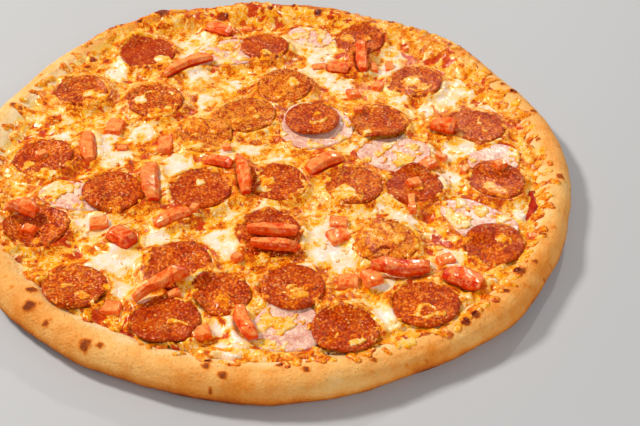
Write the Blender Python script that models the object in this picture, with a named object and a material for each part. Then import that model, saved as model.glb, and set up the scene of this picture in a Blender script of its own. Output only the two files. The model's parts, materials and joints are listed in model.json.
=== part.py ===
"""A whole, uncut pepperoni pizza, sixteen inches across, at its real size in metres.

The dough is a flat round with a risen rim. A thin layer of sauce lies in its well, and a blanket of
melted cheese lies on the sauce and runs over the far side of the rim. Slices of ham, slices of
pepperoni and pieces of tomato lie on the cheese in that order, each one settled on what is below it.
The camera side of the pizza is at -Y, and the pizza rests on Z = 0.
"""

import math

import bmesh
import bpy
import numpy as np
from mathutils import Vector
from mathutils.bvhtree import BVHTree

MM = 0.001

# Driving sizes
OUTER_RADIUS = 200 * MM
RIM_HEIGHT = 19 * MM
WELL_LEVEL = 6.0 * MM
SAUCE_THICKNESS = 1.3 * MM
CHEESE_LEVEL = 12.3 * MM
CHEESE_EDGE = 0.9 * MM
PEPPERONI_THICKNESS = 2.2 * MM
HAM_THICKNESS = 1.6 * MM
GAP = 0.35 * MM
RIM_GAP = 0.5 * MM

# Meshing
BEARINGS = 80
WELL_RINGS = 20
CHEESE_EDGE_STEPS = 4
SLICE_SIDES = 16
HAM_SIDES = 14
BED_STEP = 1.0 * MM
BED_HALF = 212 * MM

# The rim's section, from the well's edge over the crest to the foot. Each station is a distance in
# from the outer radius and a height, in millimetres.
RIM_SECTION = [
    (33.0, 6.0), (29.0, 8.4), (24.5, 12.2), (19.5, 16.0), (14.0, 18.7), (8.5, 18.6),
    (4.2, 16.2), (1.2, 12.0), (0.0, 7.8), (2.4, 3.2), (7.5, 0.0),
]
WIDEST_STATION = 8

# Swellings and dips of the rim: bearing, half width in degrees, outward and upward growth in mm.
RIM_BULGES = [
    (-136, 8, 2.2, 0.8), (-119, 7, 1.5, -0.6), (-86, 7, 1.8, 1.0), (-61, 7, -2.6, -1.2),
    (-41, 5, 2.2, 1.4), (-16, 5, -1.9, -0.8), (9, 9, 1.2, 0.4), (31, 7, -2.2, -1.0),
    (47, 8, 1.0, 1.2), (80, 6, -0.6, 1.0), (98, 5, 0.4, 2.2), (119, 5, 1.8, 4.0), (131, 6, 2.6, 1.0),
    (160, 12, -3.2, -1.0), (-172, 8, -1.2, 0.8),
]

# Blisters of the cheese: x, y, radius and height in mm.
CHEESE_BLISTERS = [
    (-152, 39, 25, 3.6), (-139, -111, 15, 4.2), (52, -134, 17, 3.0), (145, -105, 11, 4.0),
    (-51, 173, 12, 3.4), (64, 65, 14, 1.8), (-60, 70, 15, 2.4), (74, -66, 12, 1.6),
]

# How the slices of ham lie: x, y, half length, half width in mm, and turn in degrees.
HAM_SLICES = [
    (-36, 125, 24, 19, 25), (22, 152, 19, 13, -15), (29, 36, 27, 26, 0), (84, 8, 24, 20, 10),
    (134, -57, 25, 18, -38), (151, 6, 18, 15, 30), (-122, -49, 21, 14, -15), (18, -153, 23, 18, 20),
]

# How the slices of pepperoni lie: x, y, diameter, cupping and lift of one edge in mm, and the
# bearing of that edge in degrees.
PEPPERONI_SLICES = [
    (-100, 118, 41, 2.2, 2.0, -60), (-138, 64, 38, 2.4, 2.0, -70), (-85, 57, 39, 1.2, 0.0, 0),
    (-13, 133, 36, 2.0, 0.0, 0), (5, 80, 38, 1.0, 6.0, 90), (-19, 45, 40, 1.0, 0.0, 0),
    (27, 40, 38, 2.6, 2.6, -70), (-46, 19, 37, 0.8, 0.0, 0), (73, 40, 38, 2.4, 2.6, -60),
    (101, 94, 38, 2.6, 2.6, -60), (142, 42, 38, 1.6, 1.0, -90), (149, -17, 37, 1.2, 0.0, 0),
    (141, -80, 37, 1.2, 1.0, 90), (97, -133, 38, 1.6, 1.4, 60), (-148, -13, 38, 2.0, 1.6, 0),
    (-97, -44, 39, 1.0, 0.0, 0), (-42, -38, 39, 1.6, 1.6, 170), (7, -29, 36, 1.8, 0.0, 0),
    (56, -28, 37, 0.8, 0.0, 0), (95, -27, 37, 1.0, 0.0, 0), (-137, -80, 38, 1.6, 0.6, -80),
    (-47, -107, 38, 1.2, 0.0, 0), (4, -77, 40, 1.6, 1.0, 90), (21, -123, 37, 1.2, 1.0, 180),
    (-103, -130, 37, 1.2, 1.6, -60), (-48, -153, 38, 1.4, 1.2, -90), (51, -155, 38, 1.4, 1.6, -90),
    (76, -81, 37, 0.8, 0.0, 0), (-19, -130, 33, 1.0, 0.0, 0), (60, 147, 37, 2.0, 0.0, 0),
]

# How the large pieces of tomato lie: x, y, length, width, height and sideways bow in mm, and turn in
# degrees.
TOMATO_PIECES = [
    (-67, 100, 40, 9, 6.0, 5, 37), (-50, 154, 22, 12, 5.5, 1, -25), (62, 121, 36, 9, 6.0, 1, 92),
    (44, 107, 15, 12, 5.0, 1, -12), (117, 35, 17, 12, 6.0, 1, -20), (37, -8, 27, 12, 6.5, 2, 36),
    (83, -105, 34, 12, 7.0, -2, 5), (119, -112, 23, 15, 6.0, 1, -28), (-121, 1, 29, 10, 6.0, 1, 104),
    (-73, -35, 36, 11, 5.5, 2, 100), (-33, -11, 18, 10, 5.5, 1, -10), (-16, -26, 36, 9, 6.0, -1, 102),
    (-56, -67, 23, 9, 5.5, 1, 32), (6, -78, 30, 8, 7.0, -1, -2), (8, -91, 28, 7, 5.5, -1, -3),
    (-147, -71, 19, 12, 5.0, 2, -12), (-84, -88, 18, 14, 7.0, 1, -32), (-54, -128, 35, 9, 6.5, 1, 40),
    (-3, -154, 24, 9, 5.5, 2, 112),
]

# How the small dice of tomato that are sunk into the cheese lie: x, y, length, width in mm, and turn.
TOMATO_DICE = [
    (29, 111, 12, 8, 10), (73, 90, 10, 8, 60), (55, 78, 10, 9, 20), (104, -4, 13, 10, 45),
    (46, -62, 12, 10, 0), (46, -76, 14, 12, 30), (52, -114, 13, 10, 0), (66, -113, 12, 12, 20),
    (110, -93, 12, 8, 25), (-109, 27, 17, 12, 80), (-72, 10, 18, 10, 95), (-101, -73, 12, 10, 15),
    (-81, -142, 13, 10, 0), (-28, -160, 12, 9, 20), (82, 115, 12, 7, 95), (112, 9, 14, 6, -35),
]
DICE_HEIGHT = 5.0 * MM

COLOURS = {
    "dough": (0.80, 0.52, 0.24), "sauce": (0.50, 0.05, 0.015), "cheese": (0.90, 0.72, 0.42),
    "ham": (0.72, 0.45, 0.40), "pepperoni": (0.50, 0.12, 0.03), "tomato": (0.72, 0.16, 0.05),
}
ROUGHNESS = {"dough": 0.7, "sauce": 0.3, "cheese": 0.4, "ham": 0.5, "pepperoni": 0.35, "tomato": 0.3}


def ripple(x, y, wavelength, seed, waves=9):
    """A smooth uneven field of about -1 to 1: the sum of plane waves with seeded directions."""
    draw = np.random.RandomState(seed)
    total = 0.0
    for _ in range(waves):
        bearing = draw.uniform(0, math.tau)
        count = math.tau / (wavelength * draw.uniform(0.75, 1.35))
        phase = draw.uniform(0, math.tau)
        total = total + np.sin(count * (x * math.cos(bearing) + y * math.sin(bearing)) + phase)
    return total / math.sqrt(waves * 1.6)


def degrees_between(a, b):
    return (a - b + 180) % 360 - 180


def rim_growth(bearing):
    """How much further out and up the rim stands at a bearing, evenly between the section's bearings."""
    cuts = np.array([bearing_of(i) for i in range(BEARINGS + 1)])
    out, up = np.zeros(BEARINGS + 1), np.zeros(BEARINGS + 1)
    for middle, half_width, outward, upward in RIM_BULGES:
        nearness = np.exp(-((degrees_between(cuts, middle) / half_width) ** 2))
        out += outward * nearness
        up += upward * nearness
    up += 0.5 * np.sin(np.radians(9 * cuts)) + 0.4 * np.sin(np.radians(14 * cuts + 50))
    turn = np.mod(bearing, 360.0)
    return np.interp(turn, cuts, out) * MM, np.interp(turn, cuts, up) * MM


def rim_point(bearing, station):
    """Radius and height of the dough's surface at a bearing and a station, whole or between two."""
    out, up = rim_growth(bearing)
    numbers = range(len(RIM_SECTION))
    inward = np.interp(station, numbers, [row[0] for row in RIM_SECTION]) * MM
    height = np.interp(station, numbers, [row[1] for row in RIM_SECTION]) * MM
    risen = np.maximum(height - WELL_LEVEL, 0)
    return OUTER_RADIUS + out - inward, height + risen * up / (RIM_HEIGHT - WELL_LEVEL)


def station_at(bearing, radius):
    """The station of the dough's upper side that lies at a radius."""
    out, _ = rim_growth(bearing)
    upper = RIM_SECTION[WIDEST_STATION::-1]
    numbers = range(WIDEST_STATION, -1, -1)
    return np.interp((OUTER_RADIUS + out - radius) / MM, [row[0] for row in upper], numbers)


def dough_and_sauce_top(places):
    """Height of the dough, or of the sauce where it covers the dough, at each place."""
    places = np.asarray(places, float)
    bearing = np.degrees(np.arctan2(places[:, 1], places[:, 0]))
    station = station_at(bearing, np.hypot(places[:, 0], places[:, 1]))
    covered = station <= sauce_reach(bearing) + 0.5
    return rim_point(bearing, station)[1] + np.where(covered, SAUCE_THICKNESS + RIM_GAP, 0.0)


def sauce_reach(bearing):
    """How many stations up the rim's inner slope the sauce comes."""
    reach = 1.6
    for middle, most in [(42, 2.4), (3, 2.9), (-14, 3.2), (-79, 3.0), (-107, 3.1), (-148, 2.8), (117, 3.0)]:
        reach = np.maximum(reach, most - np.abs(degrees_between(bearing, middle)) / 5)
    return reach


def cheese_reach(bearing):
    """How many stations up the rim the cheese comes: over the crest on the far side."""
    far = np.exp(-((np.abs(degrees_between(bearing, 82)) / 47) ** 6))
    near = 2.5 + 0.35 * np.sin(np.radians(7 * bearing)) + 0.25 * np.sin(np.radians(17 * bearing + 40))
    crest = 4.7 + 0.5 * np.sin(np.radians(11 * bearing + 20)) + 0.3 * np.sin(np.radians(23 * bearing))
    return near + (crest - near) * far


def cheese_height(x, y):
    """Height of the cheese's open top, away from the rim."""
    height = CHEESE_LEVEL + 0.55 * MM * ripple(x, y, 44 * MM, 5) + 0.5 * MM * ripple(x, y, 21 * MM, 8)
    for middle_x, middle_y, radius, rise in CHEESE_BLISTERS:
        away = math.hypot(x - middle_x * MM, y - middle_y * MM) / (radius * MM)
        if away < 1:
            height += rise * MM * (1 - away * away) ** 2
    return height


def bearing_of(index):
    return 360.0 * index / BEARINGS


def polar(radius, bearing, height):
    turn = math.radians(bearing)
    return (radius * math.cos(turn), radius * math.sin(turn), height)


def material(name):
    made = bpy.data.materials.new(name)
    made.use_nodes = True
    shader = made.node_tree.nodes["Principled BSDF"]
    shader.inputs["Base Color"].default_value = (*COLOURS[name], 1.0)
    shader.inputs["Roughness"].default_value = ROUGHNESS[name]
    shader.inputs["Metallic"].default_value = 0.0
    made.diffuse_color = (*COLOURS[name], 1.0)
    return made


def add_solid(name, points, faces, finish, carrier):
    """A named closed solid from points and faces, with its faces pointing out."""
    mesh = bpy.data.meshes.new(name)
    mesh.from_pydata(points, [], faces)
    shape = bmesh.new()
    shape.from_mesh(mesh)
    bmesh.ops.recalc_face_normals(shape, faces=shape.faces)
    shape.to_mesh(mesh)
    shape.free()
    mesh.shade_smooth()
    mesh.set_sharp_from_angle(angle=math.radians(60))
    mesh.materials.append(finish)
    made = bpy.data.objects.new(name, mesh)
    bpy.context.scene.collection.objects.link(made)
    made.parent = carrier
    return made


def join_rings(faces, inner, outer):
    """Two triangles between each pair of neighbouring points of two rings of equal length."""
    count = len(inner)
    for i in range(count):
        j = (i + 1) % count
        faces.append((inner[i], outer[i], outer[j]))
        faces.append((inner[i], outer[j], inner[j]))


def fan(faces, middle, ring):
    for i in range(len(ring)):
        faces.append((middle, ring[i], ring[(i + 1) % len(ring)]))


def add_ring(points, ring):
    start = len(points)
    points.extend(ring)
    return list(range(start, len(points)))


def make_dough(finish, carrier):
    """The base and its risen rim: one turned section whose size changes with the bearing."""
    points, faces = [], []
    rings = []
    for station in range(len(RIM_SECTION)):
        outline = []
        for i in range(BEARINGS):
            radius, height = rim_point(bearing_of(i), station)
            outline.append(polar(radius, bearing_of(i), height))
        rings.append(add_ring(points, outline))
    for inner, outer in zip(rings, rings[1:]):
        join_rings(faces, inner, outer)
    top_middle, foot_middle = add_ring(points, [(0, 0, WELL_LEVEL), (0, 0, 0)])
    fan(faces, top_middle, rings[0])
    fan(faces, foot_middle, rings[-1])
    return add_solid("dough", points, faces, finish, carrier)


def make_sauce(finish, carrier):
    """A thin layer in the well that comes a little way up the rim's inner slope."""
    points, faces = [], []
    steps = 2
    lower, upper = [], []
    for step in range(steps + 1):
        low, high = [], []
        for i in range(BEARINGS):
            bearing = bearing_of(i)
            radius, height = rim_point(bearing, sauce_reach(bearing) * step / steps)
            low.append(polar(radius, bearing, height + RIM_GAP))
            high.append(polar(radius, bearing, height + RIM_GAP + SAUCE_THICKNESS))
        lower.append(add_ring(points, low))
        upper.append(add_ring(points, high))
    for rings in (lower, upper):
        for inner, outer in zip(rings, rings[1:]):
            join_rings(faces, inner, outer)
    join_rings(faces, lower[-1], upper[-1])
    level = WELL_LEVEL + RIM_GAP
    low_middle, high_middle = add_ring(points, [(0, 0, level), (0, 0, level + SAUCE_THICKNESS)])
    fan(faces, low_middle, lower[0])
    fan(faces, high_middle, upper[0])
    return add_solid("sauce", points, faces, finish, carrier)


def make_cheese(finish, carrier):
    """The blanket of melted cheese, uneven on top, with its edge carried up the rim."""
    points, faces = [], []
    middle = add_ring(points, [(0, 0, cheese_height(0, 0))])[0]
    ring = None
    for k in range(1, WELL_RINGS + 1):
        outline = []
        for i in range(4 * k):
            bearing = 360.0 * i / (4 * k)
            x, y, _ = polar(rim_point(bearing, 0)[0] * k / WELL_RINGS, bearing, 0)
            outline.append((x, y, cheese_height(x, y)))
        outer = add_ring(points, outline)
        if ring is None:
            fan(faces, middle, outer)
        else:
            join_growing(faces, ring, outer)
        ring = outer

    places, under_faces, under_rings = [], [], []
    for step in range(CHEESE_EDGE_STEPS + 1):
        outline = []
        for i in range(BEARINGS):
            bearing = bearing_of(i)
            station = cheese_reach(bearing) * step / CHEESE_EDGE_STEPS
            outline.append(polar(rim_point(bearing, station)[0], bearing, 0)[:2])
        under_rings.append(add_ring(places, outline))
    for inner, outer in zip(under_rings, under_rings[1:]):
        join_rings(under_faces, inner, outer)
    under_middle = add_ring(places, [(0, 0)])[0]
    under = settle(places, under_faces, dough_and_sauce_top, RIM_GAP)
    fan(under_faces, under_middle, under_rings[0])

    upper = ring
    for step in range(1, CHEESE_EDGE_STEPS + 1):
        outline = []
        for n in under_rings[step]:
            x, y = places[n]
            open_top = cheese_height(x, y) - 0.3 * MM * step
            outline.append((x, y, max(under[n] + CHEESE_EDGE, open_top)))
        outer = add_ring(points, outline)
        join_rings(faces, upper, outer)
        upper = outer
    start = len(points)
    points.extend((x, y, z) for (x, y), z in zip(places, under))
    faces.extend(tuple(n + start for n in face) for face in under_faces)
    join_rings(faces, [n + start for n in under_rings[-1]], upper)
    return add_solid("cheese", points, faces, finish, carrier)


def join_growing(faces, inner, outer):
    """Triangles between a ring of 4(k-1) points and one of 4k points, quarter by quarter."""
    less, more = len(inner) // 4, len(outer) // 4
    for quarter in range(4):
        for i in range(more):
            a = outer[(quarter * more + i) % len(outer)]
            b = outer[(quarter * more + i + 1) % len(outer)]
            c = inner[(quarter * less + i) % len(inner)]
            faces.append((a, b, c))
            if i < less:
                d = inner[(quarter * less + i + 1) % len(inner)]
                faces.append((b, d, c))


def fuse_dice(cheese, finish, carrier):
    """The small dice of tomato become one body with the cheese that holds them."""
    dice = bpy.data.collections.new("dice")
    bpy.context.scene.collection.children.link(dice)
    for x, y, length, width, turn in TOMATO_DICE:
        shape = bmesh.new()
        bmesh.ops.create_cube(shape, size=1.0)
        for corner in shape.verts:
            narrow = 0.86 if corner.co.z > 0 else 1.0
            corner.co.x *= length * MM * narrow
            corner.co.y *= width * MM * narrow
            corner.co.z *= DICE_HEIGHT
        mesh = bpy.data.meshes.new("die")
        shape.to_mesh(mesh)
        shape.free()
        die = bpy.data.objects.new("die", mesh)
        die.location = (x * MM, y * MM, cheese_height(x * MM, y * MM) + DICE_HEIGHT * 0.12)
        die.rotation_euler = (0, 0, math.radians(turn))
        dice.objects.link(die)
    join = cheese.modifiers.new("dice", "BOOLEAN")
    join.operation = "UNION"
    join.operand_type = "COLLECTION"
    join.collection = dice
    join.solver = "EXACT"
    bpy.context.view_layer.update()
    evaluated = cheese.evaluated_get(bpy.context.evaluated_depsgraph_get())
    fused = bpy.data.meshes.new_from_object(evaluated)
    cheese.modifiers.clear()
    cheese.data = fused
    for die in list(dice.objects):
        bpy.data.objects.remove(die)
    bpy.data.collections.remove(dice)


def settle(places, triangles, floor, gap):
    """The lowest heights of a sheet's points that keep all its triangles above the floor."""
    places = np.asarray(places, float)
    triangles = np.asarray(triangles)
    height = floor(places) + gap
    shares = [(a / 5, b / 5, 1 - (a + b) / 5) for a in range(6) for b in range(6 - a)]
    spots = [sum(w * places[triangles[:, n]] for n, w in enumerate(share)) for share in shares]
    floors = [floor(spot) + gap for spot in spots]
    for _ in range(24):
        for share, needed in zip(shares, floors):
            level = sum(w * height[triangles[:, n]] for n, w in enumerate(share))
            lack = np.maximum(needed - level, 0) / sum(w * w for w in share)
            for n, w in enumerate(share):
                np.maximum.at(height, triangles[:, n], height[triangles[:, n]] + lack * w)
    return height


class Bed:
    """The height of everything laid so far, on a square grid of points."""

    def __init__(self):
        self.side = int(round(2 * BED_HALF / BED_STEP)) + 1
        self.height = np.zeros((self.side, self.side))

    def lay(self, made):
        """Raises the grid to the top of a solid, and one grid step round it."""
        points = [vertex.co.copy() for vertex in made.data.vertices]
        tree = BVHTree.FromPolygons(points, [tuple(face.vertices) for face in made.data.polygons])
        place = np.array([tuple(p) for p in points])
        low = np.floor((place[:, :2].min(0) + BED_HALF) / BED_STEP).astype(int)
        high = np.ceil((place[:, :2].max(0) + BED_HALF) / BED_STEP).astype(int)
        found = np.zeros_like(self.height)
        for i in range(max(low[0], 0), min(high[0], self.side - 1) + 1):
            for j in range(max(low[1], 0), min(high[1], self.side - 1) + 1):
                start = Vector((i * BED_STEP - BED_HALF, j * BED_STEP - BED_HALF, 0.1))
                hit = tree.ray_cast(start, Vector((0, 0, -1)))[0]
                if hit is not None:
                    found[i, j] = hit.z
        grown = found.copy()
        for di in (-1, 0, 1):
            for dj in (-1, 0, 1):
                grown = np.maximum(grown, np.roll(found, (di, dj), (0, 1)))
        self.height = np.maximum(self.height, grown)

    def under(self, places):
        """The highest of the four grid points round each place."""
        spot = (np.asarray(places)[:, :2] + BED_HALF) / BED_STEP
        i, j = np.floor(spot[:, 0]).astype(int), np.floor(spot[:, 1]).astype(int)
        corners = [self.height[i + a, j + b] for a in (0, 1) for b in (0, 1)]
        return np.max(corners, axis=0)


def sheet_layout(sides, outline, rings):
    """Places and triangles of a round sheet: a middle point and rings out to its outline."""
    places, triangles = [(0.0, 0.0)], []
    previous = None
    for share in rings:
        start = len(places)
        places.extend((x * share, y * share) for x, y in outline)
        ring = list(range(start, start + sides))
        if previous is None:
            fan(triangles, 0, ring)
        else:
            join_rings(triangles, previous, ring)
        previous = ring
    return places, triangles, previous


def sheet_solid(name, places, triangles, edge, low, high, finish, carrier):
    """A sheet with an underside and a top of their own heights, closed round its edge."""
    count = len(places)
    points = [(x, y, z) for (x, y), z in zip(places, low)] + [(x, y, z) for (x, y), z in zip(places, high)]
    faces = [tuple(t) for t in triangles] + [tuple(n + count for n in t) for t in triangles]
    join_rings(faces, edge, [n + count for n in edge])
    return add_solid(name, points, faces, finish, carrier)


def make_ham(number, row, bed, finish, carrier):
    """A thin slice of ham with a lobed outline, laid on the cheese."""
    x, y, half_length, half_width, turn = row
    draw = np.random.RandomState(300 + number)
    lobes = draw.uniform(0, math.tau, 3)
    outline = []
    for i in range(HAM_SIDES):
        a = math.tau * i / HAM_SIDES
        size = 1 + 0.07 * math.sin(2 * a + lobes[0]) + 0.07 * math.sin(3 * a + lobes[1])
        size += 0.04 * math.sin(5 * a + lobes[2])
        along, across = half_length * size * math.cos(a), half_width * size * math.sin(a)
        c, s = math.cos(math.radians(turn)), math.sin(math.radians(turn))
        outline.append(((along * c - across * s) * MM, (along * s + across * c) * MM))
    places, triangles, edge = sheet_layout(HAM_SIDES, outline, (0.36, 0.7, 1.0))
    places = [(x * MM + a, y * MM + b) for a, b in places]
    low = settle(places, triangles, bed.under, GAP)
    return sheet_solid(f"ham_{number:02d}", places, triangles, edge, low, low + HAM_THICKNESS, finish, carrier)


def make_pepperoni(number, row, bed, finish, carrier):
    """A slice of pepperoni whose edge has curled up, with one side lifted further."""
    x, y, diameter, cup, lift, lift_bearing = row
    draw = np.random.RandomState(100 + number)
    phase = draw.uniform(0, math.tau, 2)
    radius = diameter * MM / 2
    outline = []
    for i in range(SLICE_SIDES):
        a = math.tau * i / SLICE_SIDES
        size = radius * (1 + 0.02 * math.sin(2 * a + phase[0]) + 0.012 * math.sin(3 * a + phase[1]))
        outline.append((size * math.cos(a), size * math.sin(a)))
    places, triangles, edge = sheet_layout(SLICE_SIDES, outline, (0.62, 1.0))
    toward = math.radians(lift_bearing)
    curl = []
    for a, b in places:
        out = math.hypot(a, b) / radius
        side = (a * math.cos(toward) + b * math.sin(toward)) / radius
        curl.append(cup * MM * out ** 3 + lift * MM * max(0.0, 0.35 + 0.65 * side) ** 1.5)
    places = [(x * MM + a, y * MM + b) for a, b in places]
    low = settle(places, triangles, bed.under, GAP) + np.array(curl) - min(curl)
    name = f"pepperoni_{number:02d}"
    return sheet_solid(name, places, triangles, edge, low, low + PEPPERONI_THICKNESS, finish, carrier)


def make_tomato(number, row, bed, finish, carrier):
    """A strip of tomato: a bowed bar, wider below than on top and rounded at its ends."""
    x, y, length, width, height, bow, turn = row
    stations = [(-0.5, 0.62, 0.62), (-0.3, 1.0, 0.95), (0.0, 0.96, 1.0), (0.3, 1.0, 0.96), (0.5, 0.66, 0.64)]
    c, s = math.cos(math.radians(turn)), math.sin(math.radians(turn))

    def place(along, across):
        sideways = across + bow * (1 - 4 * along * along)
        run = along * length
        return ((x + run * c - sideways * s) * MM, (y + run * s + sideways * c) * MM)

    foot, heights = [], []
    for along, wide, high in stations:
        half = width * wide / 2
        foot.append([place(along, -half * 0.88), place(along, half * 0.88)])
        heights.append(height * high * MM)
    flat = [p for pair in foot for p in pair]
    triangles = []
    for n in range(len(stations) - 1):
        a = 2 * n
        triangles.extend([(a, a + 1, a + 3), (a, a + 3, a + 2)])
    rest = settle(flat, triangles, bed.under, GAP)
    rest = 0.6 * rest + 0.4 * rest.max()
    points, faces, previous = [], [], None
    for n, (along, wide, high) in enumerate(stations):
        half = width * wide / 2
        low_left, low_right = rest[2 * n], rest[2 * n + 1]
        left, right = place(along, -half), place(along, half)
        top_left, top_right = place(along, -half * 0.62), place(along, half * 0.62)
        mid = heights[n] * 0.5
        ring = add_ring(points, [
            (*foot[n][0], low_left), (*foot[n][1], low_right), (*right, low_right + mid),
            (*top_right, low_right + heights[n]), (*top_left, low_left + heights[n]), (*left, low_left + mid),
        ])
        if previous is not None:
            join_rings(faces, previous, ring)
        previous = ring
    faces.append(tuple(range(6)))
    faces.append(tuple(previous))
    return add_solid(f"tomato_{number:02d}", points, faces, finish, carrier)


def centre_on_origin(carrier, dough):
    """Moves the whole pizza so that the middle of the dough's outline is over the origin."""
    place = np.array([tuple(vertex.co) for vertex in dough.data.vertices])
    middle = (place.min(0) + place.max(0)) / 2
    carrier.location = (-middle[0], -middle[1], 0.0)


def main():
    for old in list(bpy.data.objects):
        bpy.data.objects.remove(old)
    finishes = {name: material(name) for name in COLOURS}
    carrier = bpy.data.objects.new("pizza", None)
    bpy.context.scene.collection.objects.link(carrier)

    dough = make_dough(finishes["dough"], carrier)
    make_sauce(finishes["sauce"], carrier)
    cheese = make_cheese(finishes["cheese"], carrier)
    fuse_dice(cheese, finishes["cheese"], carrier)

    bed = Bed()
    bed.lay(dough)
    bed.lay(cheese)
    for number, row in enumerate(HAM_SLICES, 1):
        bed.lay(make_ham(number, row, bed, finishes["ham"], carrier))
    for number, row in enumerate(PEPPERONI_SLICES, 1):
        bed.lay(make_pepperoni(number, row, bed, finishes["pepperoni"], carrier))
    for number, row in enumerate(TOMATO_PIECES, 1):
        bed.lay(make_tomato(number, row, bed, finishes["tomato"], carrier))
    centre_on_origin(carrier, dough)


main()
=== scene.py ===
# %% [markdown]
# # A whole pepperoni pizza
#
# This notebook dresses a plain model of a baked pizza so that it looks good enough to eat. The plain
# model gives the place and the size of each topping. Each surface is rebuilt over it as a fine mesh:
# relief first, because light needs something to fall on, and then colour that follows the relief.
# Everything is in metres, with +Z up and the viewer's side of the table at -Y.

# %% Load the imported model
import json
import math

import bmesh
import bpy
import numpy as np
from mathutils import Matrix, Vector
from mathutils.bvhtree import BVHTree

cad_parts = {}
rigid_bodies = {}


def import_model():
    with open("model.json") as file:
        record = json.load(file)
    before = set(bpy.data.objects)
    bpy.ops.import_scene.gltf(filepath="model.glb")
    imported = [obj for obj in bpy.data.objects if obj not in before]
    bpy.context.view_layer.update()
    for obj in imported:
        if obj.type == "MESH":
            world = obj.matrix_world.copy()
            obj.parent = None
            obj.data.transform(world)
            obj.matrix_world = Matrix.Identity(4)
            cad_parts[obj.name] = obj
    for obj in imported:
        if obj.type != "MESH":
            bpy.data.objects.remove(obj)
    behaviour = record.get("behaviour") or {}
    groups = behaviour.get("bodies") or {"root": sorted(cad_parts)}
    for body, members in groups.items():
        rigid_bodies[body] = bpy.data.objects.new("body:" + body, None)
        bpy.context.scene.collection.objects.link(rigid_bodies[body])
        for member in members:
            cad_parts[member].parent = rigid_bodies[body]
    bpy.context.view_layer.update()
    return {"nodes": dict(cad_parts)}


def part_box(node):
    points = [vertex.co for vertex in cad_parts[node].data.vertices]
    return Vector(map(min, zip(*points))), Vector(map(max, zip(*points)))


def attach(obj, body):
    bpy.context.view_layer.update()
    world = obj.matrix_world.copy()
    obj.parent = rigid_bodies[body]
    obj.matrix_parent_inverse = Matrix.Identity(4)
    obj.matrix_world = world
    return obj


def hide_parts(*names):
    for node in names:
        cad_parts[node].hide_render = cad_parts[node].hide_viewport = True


MM = 0.001
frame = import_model()
NODES = frame["nodes"]
BODY = "root"
PEPPERONI = sorted(name for name in NODES if name.startswith("pepperoni"))
HAM = sorted(name for name in NODES if name.startswith("ham"))
TOMATO = sorted(name for name in NODES if name.startswith("tomato"))
print("slices and pieces:", len(PEPPERONI), len(HAM), len(TOMATO))

# %% [markdown]
# ## The camera
#
# The pizza is seen from a standing guest's place at the table. Its outline in the picture gave the
# camera: how steeply it looks down, how far away it is and how much it is rolled. A long lens is used,
# because a short one from close by would make the near rim swell.

# %% Camera
CAMERA_TILT = math.radians(41.22)
CAMERA_ROLL = math.radians(2.3)
CAMERA_DISTANCE = 0.6457
CAMERA_AIM = Vector((0.0341, -0.0395, 0.0))
FOCAL_PIXELS = 1000
PICTURE_WIDTH = 640
SENSOR_WIDTH = 36.0

backward = Vector((0, -math.cos(CAMERA_TILT), math.sin(CAMERA_TILT)))
sideways = Vector((1, 0, 0))
upward = backward.cross(sideways)
across = math.cos(CAMERA_ROLL) * sideways + math.sin(CAMERA_ROLL) * upward
overhead = math.cos(CAMERA_ROLL) * upward - math.sin(CAMERA_ROLL) * sideways
camera_data = bpy.data.cameras.new("camera")
camera_data.sensor_width = SENSOR_WIDTH
camera_data.lens = FOCAL_PIXELS / PICTURE_WIDTH * SENSOR_WIDTH
camera = bpy.data.objects.new("camera", camera_data)
turned = Matrix((across, overhead, backward)).transposed().to_4x4()
camera.matrix_world = Matrix.Translation(CAMERA_AIM + CAMERA_DISTANCE * backward) @ turned
bpy.context.scene.collection.objects.link(camera)
bpy.context.scene.camera = camera
print("lens in mm:", camera_data.lens)

# %% [markdown]
# ## How colours are shown
#
# Blender's default view softens strong colours, which suits a sunlit room but makes food look cold. The
# standard view shows each base colour as it is written, so orange cheese stays orange.

# %% View
bpy.context.scene.view_settings.view_transform = "Standard"
print("view:", bpy.context.scene.view_settings.view_transform)

# %% [markdown]
# ## Materials as arithmetic
#
# A tree of nodes is easier to read as a formula. `Value` wraps one socket, and adding or multiplying
# values adds the Math nodes. `Graph` makes every other node with one method, and `Finish` is the graph
# of one material.

# %% Wrap a socket so that it can be used in a formula
class Value:
    """One output of a node, or a part of a formula made from such outputs."""

    def __init__(self, graph, socket):
        self.graph = graph
        self.socket = socket

    def _with(self, operation, *operands):
        return self.graph.node("ShaderNodeMath", {"operation": operation}, dict(enumerate(operands)))

    def __add__(self, other):
        return self._with("ADD", self, other)

    def __sub__(self, other):
        return self._with("SUBTRACT", self, other)

    def __rsub__(self, other):
        return self._with("SUBTRACT", other, self)

    def __mul__(self, other):
        return self._with("MULTIPLY", self, other)

    __radd__ = __add__
    __rmul__ = __mul__

    def between(self, low, high):
        """0 below low, 1 above high and smooth in between."""
        settings = {"interpolation_type": "SMOOTHSTEP"}
        sockets = {"Value": self, "From Min": low, "From Max": high}
        return self.graph.node("ShaderNodeMapRange", settings, sockets)

    def other(self, output):
        """Another output of the same node."""
        return Value(self.graph, pick(self.socket.node.outputs, output))


# %% Make any node with one method
def pick(sockets, key):
    """The socket with this number, identifier or name."""
    if isinstance(key, int):
        return sockets[key]
    return next(socket for socket in sockets if key in (socket.identifier, socket.name))


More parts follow.
